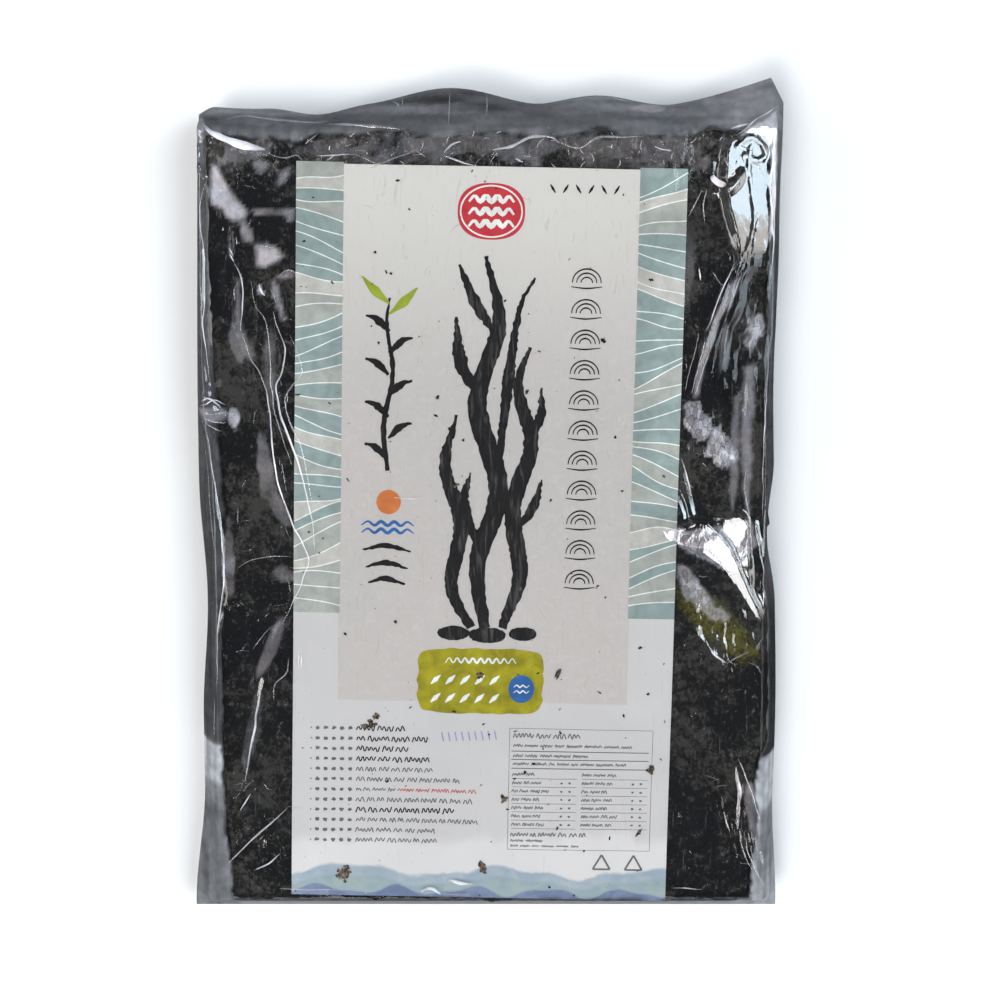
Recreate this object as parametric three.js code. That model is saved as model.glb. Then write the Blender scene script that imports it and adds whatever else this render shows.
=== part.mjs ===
// A sealed clear film pack of dried laver sheets, lying on its back with its paper insert up.
// Millimetres: X runs across the pack, Y from its sealed end to its closed flap, Z up.
// The origin lies under the middle of the pack, on the plane that it rests on.

import * as THREE from "three";
import { mergeVertices } from "three/addons/utils/BufferGeometryUtils.js";

// The stack of sheets that fills the bag.
const sheetWidth = 190;
const sheetLength = 271.5;
const stackHeight = 25;
const stackCentre = { x: 3, y: -5.75 };

// The paper insert that lies on the stack, under the film.
const paperWidth = 134.5;
const paperLength = 260;
const paperCentre = { x: 0, y: -11.6 };
const paperTurn = THREE.MathUtils.degToRad(-0.85);
const paperStep = 0.6;
const paperSkirt = 1.6;

// The bag: its folded sides run round the stack at half height and spread at the sealed corners.
const bagHalfWidth = { left: 103, right: 104 };
const bagSealedEnd = -148.6;
const bagFlapEnd = 140.4;
const rimHeight = 11;
const rimThickness = 1;
const underInset = 1.5;
const baseInset = 2;
const cornerSpread = { left: 4, right: 3, reach: 46 };
const sidePinches = {
  left: [{ at: -34, reach: 44, depth: 2.3 }],
  right: [
    { at: -9, reach: 26, depth: 2.7 },
    { at: 44, reach: 50, depth: 1.1 },
    { at: -75, reach: 75, depth: -1.7 },
  ],
};
const mouthTuck = { start: 20, depth: 2.7 };

// The flap: a flat welt of doubled film beyond the mouth, wavy along its edge, with one raised corner.
const mouthLine = 135;
const mouthHeight = 14;
const seamClimb = 22;
const flapWaves = [
  { at: -103, reach: 9, rise: -4, lift: 0 },
  { at: -80, reach: 30, rise: -1.3, lift: 0 },
  { at: -58, reach: 18, rise: -2.8, lift: -1.5 },
  { at: -12, reach: 34, rise: 5.2, lift: 3 },
  { at: 39, reach: 24, rise: 2.9, lift: 1.5 },
];
const flapEar = { from: 64, tip: 98.5, to: 104.5, rise: 8.2, lift: 6 };

// The film's folds over the stack: each is a ridge that follows a smooth line through its points.
const folds = {
  leftInner: {
    height: 1.5,
    width: 2.6,
    points: [[-88, 92], [-85, 58], [-76, 40], [-74, 8], [-65, -22], [-72, -52], [-84, -84], [-86, -112]],
  },
  leftOuter: {
    height: 1.2,
    width: 2.4,
    points: [[-96, 106], [-94, 48], [-90, 18], [-95, 4], [-90, -24], [-93, -66]],
  },
  paperEdgeLeft: { height: 1.1, width: 2.2, points: [[-74, 62], [-73, 34], [-68, 6], [-64, -20]] },
  headLeft: { height: 1.4, width: 2.4, points: [[-97, 124], [-78, 119], [-62, 114]] },
  headRight: {
    height: 1.8,
    width: 2.4,
    points: [[104, 138], [88, 126], [83, 118], [86, 100], [80, 72], [72, 48]],
  },
  crumple: { height: 2, width: 4, points: [[64, -16], [80, -12], [92, -22], [100, -46]] },
  rightLower: { height: 1.3, width: 2.6, points: [[74, -62], [84, -70], [93, -104], [96, -138]] },
  sealedCornerLeft: { height: 1.4, width: 2.4, points: [[-68, -112], [-84, -128], [-103, -145]] },
  sealedCornerRight: { height: 1.2, width: 2.4, points: [[84, -106], [94, -126], [102, -145]] },
};
const foldSteps = 60;
const seamFoldShare = 0.25;
const swell = { height: 0.5, acrossLength: 96, alongLength: 118 };

// How finely the film's upper face is divided.
const sideLines = 2;
const leftMarginLines = 8;
const paperColumnLines = 13;
const rightMarginLines = 9;
const paperRowLines = 38;
const headLines = 2;
const flapLines = 2;

const stack = {
  left: stackCentre.x - sheetWidth / 2,
  right: stackCentre.x + sheetWidth / 2,
  sealed: stackCentre.y - sheetLength / 2,
  mouth: stackCentre.y + sheetLength / 2,
};

const mix = THREE.MathUtils.lerp;
const smooth = THREE.MathUtils.smoothstep;

// A rounded hump of 1 at its middle that ends level at its reach.
function hump(distance, reach) {
  return Math.abs(distance) < reach ? Math.cos((Math.PI * distance) / (2 * reach)) ** 2 : 0;
}

function pinchAt(pinches, y) {
  return pinches.reduce((depth, pinch) => depth + pinch.depth * hump(y - pinch.at, pinch.reach), 0);
}

function spreadAt(y) {
  return 1 - smooth(y, bagSealedEnd, bagSealedEnd + cornerSpread.reach);
}

function leftRim(y) {
  const nearMouth = Math.max(y - mouthTuck.start, 0) / (stack.mouth - mouthTuck.start);
  const tuck = mouthTuck.depth * nearMouth ** 2;
  return -bagHalfWidth.left - cornerSpread.left * spreadAt(y) + pinchAt(sidePinches.left, y) + tuck;
}

function rightRim(y) {
  return bagHalfWidth.right + cornerSpread.right * spreadAt(y) - pinchAt(sidePinches.right, y);
}

// The raised corner climbs slowly to its tip and falls off short beyond it.
function earShare(x) {
  const climb = THREE.MathUtils.clamp((x - flapEar.from) / (flapEar.tip - flapEar.from), 0, 1);
  const fall = THREE.MathUtils.clamp((flapEar.to - x) / (flapEar.to - flapEar.tip), 0, 1);
  return climb ** 1.3 * fall;
}

function flapSum(x, key) {
  const waves = flapWaves.reduce((sum, wave) => sum + wave[key] * hump(x - wave.at, wave.reach), 0);
  return waves + flapEar[key] * earShare(x);
}

function flapRim(x) {
  return bagFlapEnd + flapSum(x, "rise");
}

// Sides of the turned paper, as the lines that the film's divisions follow.
function paperSide(y, side, beyond) {
  const along = y - paperCentre.y;
  const out = (side * (paperWidth / 2 + beyond)) / Math.cos(paperTurn);
  return paperCentre.x + out - along * Math.tan(paperTurn);
}

function paperEnd(x, end, beyond) {
  const across = x - paperCentre.x;
  const out = (end * (paperLength / 2 + beyond)) / Math.cos(paperTurn);
  return paperCentre.y + out + across * Math.tan(paperTurn);
}

// Lines between two outline functions, the first included and the last left to what follows.
function between(from, to, count) {
  return Array.from({ length: count }, (_, step) => (along) => mix(from(along), to(along), step / count));
}

function columnLines() {
  const left = () => stack.left;
  const right = () => stack.right;
  const paperLeft = (y) => paperSide(y, -1, 0);
  const paperRight = (y) => paperSide(y, 1, 0);
  return [
    ...between(leftRim, left, sideLines + 1),
    ...between(left, (y) => paperSide(y, -1, paperSkirt), leftMarginLines),
    (y) => paperSide(y, -1, paperSkirt),
    ...between(paperLeft, paperRight, paperColumnLines),
    paperRight,
    ...between((y) => paperSide(y, 1, paperSkirt), right, rightMarginLines),
    ...between(right, rightRim, sideLines + 1),
    rightRim,
  ];
}

function rowLines() {
  const sealedEnd = () => bagSealedEnd;
  const paperFoot = (x) => paperEnd(x, -1, 0);
  const paperHead = (x) => paperEnd(x, 1, 0);
  const mouth = () => stack.mouth;
  const welt = () => mouthLine;
  return [
    ...between(sealedEnd, paperFoot, sideLines + 1),
    ...between(paperFoot, paperHead, paperRowLines),
    paperHead,
    ...between((x) => paperEnd(x, 1, paperSkirt), mouth, headLines),
    ...between(mouth, welt, headLines),
    ...between(welt, flapRim, flapLines),
    flapRim,
  ];
}

// Where a column line and a row line cross: they lean little, so a few turns settle it.
function crossing(column, row) {
  const point = { x: 0, y: row(0) };
  for (let turn = 0; turn < 6; turn += 1) {
    point.x = column(point.y);
    point.y = row(point.x);
  }
  return point;
}

// Densely sampled fold lines.
const foldLines = Object.values(folds).map((fold) => {
  const points = fold.points.map(([x, y]) => new THREE.Vector3(x, y, 0));
  const line = new THREE.CatmullRomCurve3(points).getSpacedPoints(foldSteps);
  return { ...fold, line };
});

// Height of the folds at a place, the highest alone where two meet, running out at each fold's ends.
function foldHeight(x, y) {
  let height = 0;
  for (const fold of foldLines) {
    let nearest = Infinity;
    let share = 0;
    fold.line.forEach((point, index) => {
      const distance = Math.hypot(point.x - x, point.y - y);
      if (distance < nearest) {
        nearest = distance;
        share = index / (fold.line.length - 1);
      }
    });
    const runOut = Math.sqrt(Math.sin(Math.PI * mix(0.04, 0.96, share)));
    height = Math.max(height, fold.height * runOut * Math.exp(-((nearest / fold.width) ** 2)));
  }
  return height;
}

// 1 over the stack, easing to 0 at the rim: the film leaves the stack's edge level and comes down steeper.
function drape(gap, overhang) {
  const share = THREE.MathUtils.clamp(gap / overhang, 0, 1);
  return 1 - share ** 1.6;
}

function paperRise(x, y) {
  const across = x - paperCentre.x;
  const along = y - paperCentre.y;
  const ownX = across * Math.cos(paperTurn) + along * Math.sin(paperTurn);
  const ownY = -across * Math.sin(paperTurn) + along * Math.cos(paperTurn);
  const beyond = Math.max(Math.abs(ownX) - paperWidth / 2, Math.abs(ownY) - paperLength / 2);
  return paperStep * (1 - smooth(beyond, 0, paperSkirt * 0.9));
}

function swellAt(x, y) {
  const across = Math.sin((2 * Math.PI * x) / swell.acrossLength + 0.7);
  const along = Math.cos((2 * Math.PI * y) / swell.alongLength - 0.4);
  return swell.height * across * along;
}

// Where the two films meet: at half the stack's height along the folded sides, higher under the flap.
function seamHeight(x, y) {
  const flapHeight = mouthHeight + flapSum(x, "lift");
  return mix(rimHeight, flapHeight, smooth(y, stack.mouth - seamClimb, mouthLine));
}

// The film's height over any place of the pack.
function filmHeight(x, y) {
  const sideways = x < 0
    ? drape(stack.left - x, stack.left - leftRim(y))
    : drape(x - stack.right, rightRim(y) - stack.right);
  const endways = y < 0
    ? drape(stack.sealed - y, stack.sealed - bagSealedEnd)
    : drape(y - stack.mouth, mouthLine - stack.mouth);
  const over = sideways * endways;
  const top = stackHeight + paperRise(x, y) + swellAt(x, y);
  return mix(seamHeight(x, y), top, over) + foldHeight(x, y) * Math.max(over, seamFoldShare);
}

function packGeometry() {
  const columns = columnLines();
  const rows = rowLines();
  const vertices = [];
  const triangles = [];
  const addVertex = (x, y, z) => vertices.push(x, y, z) / 3 - 1;
  const addQuad = (a, b, c, d) => triangles.push(a, b, c, a, c, d);

  // Upper face.
  const upper = rows.map((row) => columns.map((column) => {
    const { x, y } = crossing(column, row);
    return addVertex(x, y, filmHeight(x, y) + rimThickness / 2);
  }));
  for (let row = 0; row < rows.length - 1; row += 1) {
    for (let column = 0; column < columns.length - 1; column += 1) {
      const [a, b] = [upper[row][column], upper[row][column + 1]];
      const [c, d] = [upper[row + 1][column + 1], upper[row + 1][column]];
      addQuad(a, b, c, d);
    }
  }

  // Grid places round the rim, counter-clockwise from the sealed left corner.
  const lastRow = rows.length - 1;
  const lastColumn = columns.length - 1;
  const round = [];
  for (let column = 0; column < lastColumn; column += 1) {
    round.push([0, column]);
  }
  for (let row = 0; row < lastRow; row += 1) {
    round.push([row, lastColumn]);
  }
  for (let column = lastColumn; column > 0; column -= 1) {
    round.push([lastRow, column]);
  }
  for (let row = lastRow; row > 0; row -= 1) {
    round.push([row, 0]);
  }

  // Lower face: the rim's underside, a line just inside it, and the flat that rests.
  const place = (index) => new THREE.Vector3().fromArray(vertices, 3 * index);
  const rings = { rim: [], under: [], base: [] };
  for (const [row, column] of round) {
    const top = place(upper[row][column]);
    const acrossShare = (top.x - leftRim(top.y)) / (rightRim(top.y) - leftRim(top.y));
    const alongShare = (top.y - bagSealedEnd) / (flapRim(top.x) - bagSealedEnd);
    const inX = mix(leftRim(top.y) + underInset, rightRim(top.y) - underInset, acrossShare);
    const inY = mix(bagSealedEnd + underInset, mouthLine, alongShare);
    const baseX = mix(stack.left + baseInset, stack.right - baseInset, acrossShare);
    const baseY = mix(stack.sealed + baseInset, stack.mouth - baseInset, alongShare);
    rings.rim.push(addVertex(top.x, top.y, top.z - rimThickness));
    rings.under.push(addVertex(inX, inY, seamHeight(inX, inY) - 1.5 * rimThickness));
    rings.base.push(addVertex(baseX, baseY, 0));
  }
  const topRing = round.map(([row, column]) => upper[row][column]);
  const bands = [[topRing, rings.rim], [rings.rim, rings.under], [rings.under, rings.base]];
  for (const [outer, inner] of bands) {
    outer.forEach((_, index) => {
      const next = (index + 1) % outer.length;
      addQuad(outer[next], outer[index], inner[index], inner[next]);
    });
  }
  const outline = rings.base.map((index) => new THREE.Vector2(...place(index).toArray().slice(0, 2)));
  for (const [a, b, c] of THREE.ShapeUtils.triangulateShape(outline, [])) {
    triangles.push(rings.base[a], rings.base[c], rings.base[b]);
  }

  const geometry = new THREE.BufferGeometry();
  geometry.setAttribute("position", new THREE.Float32BufferAttribute(vertices, 3));
  geometry.setIndex(triangles);
  const merged = mergeVertices(geometry);
  merged.computeVertexNormals();
  return merged;
}

const clearOverLaver = new THREE.MeshStandardMaterial({
  color: 0x2b2e2c,
  roughness: 0.25,
  metalness: 0,
  flatShading: true,
});

const pack = new THREE.Mesh(packGeometry(), clearOverLaver);
pack.name = "pack";

const nori = new THREE.Group();
nori.add(pack);

export default nori;
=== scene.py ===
import math
from functools import cache

import bpy
import numpy as np
from mathutils import Matrix, Vector


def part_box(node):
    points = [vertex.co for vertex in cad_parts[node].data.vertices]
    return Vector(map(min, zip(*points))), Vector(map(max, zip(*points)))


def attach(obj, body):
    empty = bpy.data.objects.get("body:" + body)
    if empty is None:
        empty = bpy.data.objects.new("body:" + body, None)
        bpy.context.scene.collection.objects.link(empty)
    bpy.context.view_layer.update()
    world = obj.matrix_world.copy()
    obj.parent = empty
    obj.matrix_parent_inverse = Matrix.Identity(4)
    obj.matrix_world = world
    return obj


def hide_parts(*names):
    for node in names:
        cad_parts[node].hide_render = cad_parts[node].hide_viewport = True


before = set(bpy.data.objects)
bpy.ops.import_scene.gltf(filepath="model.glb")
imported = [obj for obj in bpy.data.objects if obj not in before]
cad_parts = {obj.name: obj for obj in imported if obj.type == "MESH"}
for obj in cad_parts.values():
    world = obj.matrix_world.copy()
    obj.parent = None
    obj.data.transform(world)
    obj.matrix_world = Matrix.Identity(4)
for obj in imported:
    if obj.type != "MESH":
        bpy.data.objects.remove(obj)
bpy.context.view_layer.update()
bpy.ops.object.select_all(action="DESELECT")

# Lengths in the dictionaries are millimetres; meshes are written in metres.
mm = 0.001
nodeLow, nodeHigh = [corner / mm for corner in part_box("pack")]

pack = {
    "sheetWidth": 190.0,
    "sheetLength": 271.5,
    "stackHeight": 25.0,
    "stackX": 3.0,
    "stackY": -5.75,
    "halfLeft": 103.0,
    "halfRight": 104.0,
    "sealedEnd": nodeLow.y,
    "flapEnd": 140.4,
    "rimHeight": 11.0,
    "spreadReach": 46.0,
    "pinches": {  # at, reach, depth
        "left": [(-34, 44, 2.3)],
        "right": [(-9, 26, 2.7), (44, 50, 1.1), (-75, 75, -1.7)],
    },
    "mouthTuck": 2.7,
    "tuckStart": 20.0,
    "mouthLine": 135.0,
    "mouthHeight": 14.0,
    "seamClimb": 22.0,
    "flapWaves": [  # at, reach, rise of the rim along the pack, lift
        (-103, 9, -4.0, 0), (-80, 30, -1.3, 0), (-58, 18, -2.8, -1.5), (-12, 34, 5.2, 3), (39, 24, 2.9, 1.5),
    ],
    "ear": {"from": 64.0, "tip": 98.5, "to": 104.5, "rise": 8.2, "lift": 6.0},
    "swell": 0.5,
    "swellAcross": 96.0,
    "swellAlong": 118.0,
}
stackLeft = pack["stackX"] - pack["sheetWidth"] / 2
stackRight = pack["stackX"] + pack["sheetWidth"] / 2
stackSealed = pack["stackY"] - pack["sheetLength"] / 2
stackMouth = pack["stackY"] + pack["sheetLength"] / 2

insert = {
    "width": 134.5,
    "length": 258.8,
    "centreX": 0.0,
    "centreY": -11.5,
    "turn": math.radians(-1.13),
    "columns": 68,
    "rows": 130,
    "lift": 0.45,
    "cockle": 0.16,
    "thickness": 0.18,
}


# ---- plain number helpers, all on arrays
patternCells = 64  # a random field repeats after so many cells


def mix(a, b, share):
    return a + (b - a) * share


def smooth(value, low, high):
    share = np.clip((value - low) / (high - low), 0, 1)
    return share * share * (3 - 2 * share)


def hump(distance, reach):
    inside = np.abs(distance) < reach
    return np.where(inside, np.cos(np.pi * distance / (2 * reach)) ** 2, 0)


@cache
def lattice(seed, layers):
    return np.random.default_rng(seed).uniform(0, 1, (layers, patternCells, patternCells))


def cellOf(x, y, sizeX, sizeY):  # places counted in cells, and the cells that they lie in
    u = x / sizeX + patternCells / 2
    v = y / sizeY + patternCells / 2
    return u, v, np.floor(u).astype(int), np.floor(v).astype(int)


def drift(x, y, sizeX, sizeY, seed):  # smooth wandering field from -1 to 1
    field = lattice(seed, 1)[0] * 2 - 1
    u, v, iu, iv = cellOf(x, y, sizeX, sizeY)
    fu = smooth(u - iu, 0, 1)
    fv = smooth(v - iv, 0, 1)
    here = (iu % patternCells, (iu + 1) % patternCells)
    low, high = [mix(field[here[0], row], field[here[1], row], fu)
                 for row in (iv % patternCells, (iv + 1) % patternCells)]
    return mix(low, high, fv)


def cells(x, y, sizeX, sizeY, seed):
    # the nearest jittered cell: how near its border is, the offset from its middle, and its place
    jitter = lattice(seed, 2) * 0.8 + 0.1
    u, v, iu, iv = cellOf(x, y, sizeX, sizeY)
    first = np.full(np.shape(u), 9.0)
    second = first
    offU = offV = np.zeros(np.shape(u))
    atU = atV = iu
    for stepU in (-1, 0, 1):
        for stepV in (-1, 0, 1):
            cu = (iu + stepU) % patternCells
            cv = (iv + stepV) % patternCells
            du = u - (iu + stepU) - jitter[0, cu, cv]
            dv = v - (iv + stepV) - jitter[1, cu, cv]
            away = np.hypot(du, dv)
            nearer = away < first
            second = np.where(nearer, first, np.minimum(second, away))
            first = np.where(nearer, away, first)
            offU = np.where(nearer, du, offU)
            offV = np.where(nearer, dv, offV)
            atU = np.where(nearer, cu, atU)
            atV = np.where(nearer, cv, atV)
    return second - first, offU * sizeX, offV * sizeY, (atU, atV)


def facets(x, y, sizeX, sizeY, seed):  # 0 along the creases between cells, up to about 1 inside them
    return cells(x, y, sizeX, sizeY, seed)[0]


def shards(x, y, size, lean, spread, seed):  # each cell is a small plane that leans its own way
    inside, offX, offY, at = cells(x, y, size[0], size[1], seed)
    wobble = lattice(seed + 500, 2) * 2 - 1
    leanX = np.tan(np.radians(lean[0] + spread * wobble[0][at]))
    leanY = np.tan(np.radians(lean[1] + spread * wobble[1][at]))
    return -(leanX * offX + leanY * offY) * smooth(inside, 0, 0.3)


def directions(line):
    tangent = np.gradient(line, axis=0)
    return tangent / np.hypot(*tangent.T)[:, None]


def followed(line, along):  # places and directions at the given shares of a line
    shares = np.linspace(0, 1, len(line))
    return [np.interp(along, shares, column) for column in (*line.T, *directions(line).T)]


def byBox(places, reach, x, y):  # which points lie in the box round these places
    low = np.min(places, axis=0) - reach
    high = np.max(places, axis=0) + reach
    return (x > low[0]) & (x < high[0]) & (y > low[1]) & (y < high[1])


def nearestOn(line, x, y):
    # index of the line's nearest point, signed distance (positive on its left) and plain distance
    gapX = x[:, None] - line[None, :, 0]
    gapY = y[:, None] - line[None, :, 1]
    nearest = np.argmin(gapX**2 + gapY**2, axis=1)
    tangentX, tangentY = directions(line)[nearest].T
    row = np.arange(len(nearest))
    gx = gapX[row, nearest]
    gy = gapY[row, nearest]
    return nearest, tangentX * gy - tangentY * gx, np.hypot(gx, gy)


def smoothLine(points, count):  # Catmull-Rom through the points, evenly spaced
    p = np.array(points, float)
    p = np.vstack([2 * p[0] - p[1], p, 2 * p[-1] - p[-2]])
    parts = []
    for k in range(1, len(p) - 2):
        t = np.linspace(0, 1, 24, endpoint=False)[:, None]
        a, b, c, d = p[k - 1], p[k], p[k + 1], p[k + 2]
        square = 2 * a - 5 * b + 4 * c - d
        cube = 3 * b - a - 3 * c + d
        parts.append(0.5 * (2 * b + (c - a) * t + square * t**2 + cube * t**3))
    dense = np.vstack([*parts, p[-2][None]])
    walked = np.concatenate([[0], np.cumsum(np.hypot(*np.diff(dense[:, :2], axis=0).T))])
    where = np.linspace(0, walked[-1], count)
    return np.column_stack([np.interp(where, walked, dense[:, axis]) for axis in range(p.shape[1])])


# ---- the pack's shape, as in the frame
def spreadAt(y):
    return 1 - smooth(y, pack["sealedEnd"], pack["sealedEnd"] + pack["spreadReach"])


def pinchAt(side, y):
    return sum(depth * hump(y - at, reach) for at, reach, depth in pack["pinches"][side])


def leftRim(y):
    corner = -nodeLow.x - pack["halfLeft"]
    drawn = np.maximum(y - pack["tuckStart"], 0) / (stackMouth - pack["tuckStart"])
    tuck = pack["mouthTuck"] * drawn**2
    return -pack["halfLeft"] - corner * spreadAt(y) + pinchAt("left", y) + tuck


def rightRim(y):
    corner = nodeHigh.x - pack["halfRight"]
    return pack["halfRight"] + corner * spreadAt(y) - pinchAt("right", y)


def flapSum(x, key):
    ear = pack["ear"]
    climb = np.clip((x - ear["from"]) / (ear["tip"] - ear["from"]), 0, 1)
    fall = np.clip((ear["to"] - x) / (ear["to"] - ear["tip"]), 0, 1)
    column = {"rise": 2, "lift": 3}[key]
    waves = sum(wave[column] * hump(x - wave[0], wave[1]) for wave in pack["flapWaves"])
    return waves + ear[key] * climb**1.3 * fall


def flapRim(x):
    return pack["flapEnd"] + flapSum(x, "rise")


def seamHeight(x, y):
    flapHeight = pack["mouthHeight"] + flapSum(x, "lift")
    climb = smooth(y, stackMouth - pack["seamClimb"], pack["mouthLine"])
    return mix(pack["rimHeight"], flapHeight, climb)


def drape(gap, overhang, power=1.6):
    return 1 - np.clip(gap / overhang, 0, 1) ** power


def overStack(x, y):  # 1 over the stack, 0 at the rim
    shoulderLeft = stackLeft - mix(film["shoulderLow"], film["shoulderLeft"], smooth(y, 8, 40))
    shoulderRight = stackRight + film["shoulderRight"] * smooth(y, 46, 64)
    left = drape(shoulderLeft - x, shoulderLeft - leftRim(y))
    right = drape(x - shoulderRight, rightRim(y) - shoulderRight)
    sealed = drape(stackSealed - y, stackSealed - pack["sealedEnd"], 1.05)
    mouth = drape(y - stackMouth, flapRim(x) - stackMouth, 1.7)
    return np.where(x < 0, left, right) * np.where(y < 0, sealed, mouth)


def swellAt(x, y):
    across = np.sin(2 * np.pi * x / pack["swellAcross"] + 0.7)
    along = np.cos(2 * np.pi * y / pack["swellAlong"] - 0.4)
    return pack["swell"] * across * along


def toPaper(x, y):  # the insert's own places, from the middle of its sheet
    across = x - insert["centreX"]
    along = y - insert["centreY"]
    c = math.cos(insert["turn"])
    s = math.sin(insert["turn"])
    return across * c + along * s, along * c - across * s


def fromPaper(u, v):
    c = math.cos(insert["turn"])
    s = math.sin(insert["turn"])
    return insert["centreX"] + u * c - v * s, insert["centreY"] + u * s + v * c


def beyondPaper(x, y):
    u, v = toPaper(x, y)
    return np.maximum(np.abs(u) - insert["width"] / 2, np.abs(v) - insert["length"] / 2)


def paperHeight(x, y):  # upper side of the insert
    cockle = insert["cockle"] * (drift(x, y, 34, 46, 3) + 0.4 * drift(x, y, 13, 19, 4))
    return pack["stackHeight"] + insert["lift"] + swellAt(x, y) + cockle


# ---- meshes
def asArray(mesh, key="co"):
    flat = np.empty(len(mesh.vertices) * 3)
    mesh.vertices.foreach_get(key, flat)
    return flat.reshape(-1, 3)


def placeVertices(piece, x, y, z):
    mesh = piece.data
    mesh.vertices.foreach_set("co", (np.column_stack([x, y, z]) * mm).ravel())
    mesh.update()


def named(name):  # gives the active piece its name
    piece = bpy.context.object
    piece.name = name
    piece.data.name = name
    return piece


def addGrid(name, columns, rows):  # returns the piece and its shares across and along, 0 to 1
    bpy.ops.mesh.primitive_grid_add(x_subdivisions=columns, y_subdivisions=rows, size=1)
    piece = named(name)
    places = asArray(piece.data)
    return piece, places[:, 0] + 0.5, places[:, 1] + 0.5


def addSlab(name, corners):  # a round slab, its corners' angles, and 0 below or 1 on top
    bpy.ops.mesh.primitive_circle_add(vertices=corners, radius=1, fill_type="NGON")
    piece = named(name)
    bpy.ops.object.mode_set(mode="EDIT")
    bpy.ops.mesh.select_all(action="SELECT")
    bpy.ops.mesh.extrude_region_move(TRANSFORM_OT_translate={"value": (0, 0, 1)})
    closeNormals()
    x, y, top = asArray(piece.data).T
    return piece, np.arctan2(y, x), top


def closeNormals():  # turns all faces outward and leaves edit mode
    bpy.ops.mesh.select_all(action="SELECT")
    bpy.ops.mesh.normals_make_consistent(inside=False)
    bpy.ops.object.mode_set(mode="OBJECT")


def copyOf(piece):  # a copy with its own mesh
    twin = piece.copy()
    twin.data = piece.data.copy()
    bpy.context.collection.objects.link(twin)
    return twin


def onlySelect(*pieces):
    bpy.ops.object.select_all(action="DESELECT")
    for piece in pieces:
        piece.select_set(True)
    bpy.context.view_layer.objects.active = pieces[0]


def joined(name, pieces):
    onlySelect(*pieces)
    if len(pieces) > 1:
        bpy.ops.object.join()
    bpy.ops.object.select_all(action="DESELECT")
    return named(name)


def thicken(piece, thickness):  # downward
    onlySelect(piece)
    made = piece.modifiers.new("Solidify", "SOLIDIFY")
    made.thickness = thickness * mm
    made.offset = -1
    bpy.ops.object.modifier_apply(modifier=made.name)


ringDrop = 1.0  # a new ring first lies so far under the edge


def selectOpenEdge(piece):  # in edit mode
    onlySelect(piece)
    bpy.ops.object.mode_set(mode="EDIT")
    bpy.ops.mesh.select_mode(type="EDGE")
    bpy.ops.mesh.select_all(action="DESELECT")
    bpy.ops.mesh.select_non_manifold(extend=False, use_wire=False, use_multi_face=False,
                                     use_non_contiguous=False)


def ringBelow(piece, move):  # extrudes the open edge and moves the new ring's places
    selectOpenEdge(piece)
    bpy.ops.mesh.extrude_region_move(TRANSFORM_OT_translate={"value": (0, 0, -ringDrop * mm)})
    bpy.ops.object.mode_set(mode="OBJECT")
    chosen = np.empty(len(piece.data.vertices), bool)
    piece.data.vertices.foreach_get("select", chosen)
    places = asArray(piece.data) / mm
    places[chosen] = np.column_stack(move(*places[chosen].T))
    placeVertices(piece, *places.T)


def closeBelow(piece):
    selectOpenEdge(piece)
    bpy.ops.mesh.edge_face_add()
    closeNormals()


def finishPiece(piece, material, smoothAngle=None):
    piece.data.materials.clear()
    piece.data.materials.append(material)
    onlySelect(piece)
    if smoothAngle is None:
        bpy.ops.object.shade_smooth()
    else:
        bpy.ops.object.shade_smooth_by_angle(angle=math.radians(smoothAngle))
    bpy.ops.object.select_all(action="DESELECT")
    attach(piece, "root")


# ---- materials: a wire is a socket that does sums
class Wire:
    def __init__(self, shade, socket):
        self.shade = shade
        self.socket = socket

    def sum(self, operation, *others):
        settings = {"operation": operation}
        inputs = dict(enumerate([self, *others]))
        return self.shade.node("Math", settings, inputs)

    def __add__(self, other):
        return self.sum("ADD", other)

    __radd__ = __add__

    def __sub__(self, other):
        return self.sum("SUBTRACT", other)

    def __rsub__(self, other):
        return (self * -1) + other

    def __mul__(self, other):
        return self.sum("MULTIPLY", other)

    __rmul__ = __mul__

    def __truediv__(self, other):
        return self.sum("DIVIDE", other)

    def __pow__(self, other):
        return self.sum("POWER", other)

    def above(self, low, high):  # 0 under low, 1 over high, smooth between
        settings = {"interpolation_type": "SMOOTHSTEP"}
        return self.shade.node("MapRange", settings, {"Value": self, "From Min": low, "From Max": high})

    def atLeast(self, other):
        return self.sum("MAXIMUM", other)

    def size(self):
        return self.sum("ABSOLUTE")


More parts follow.
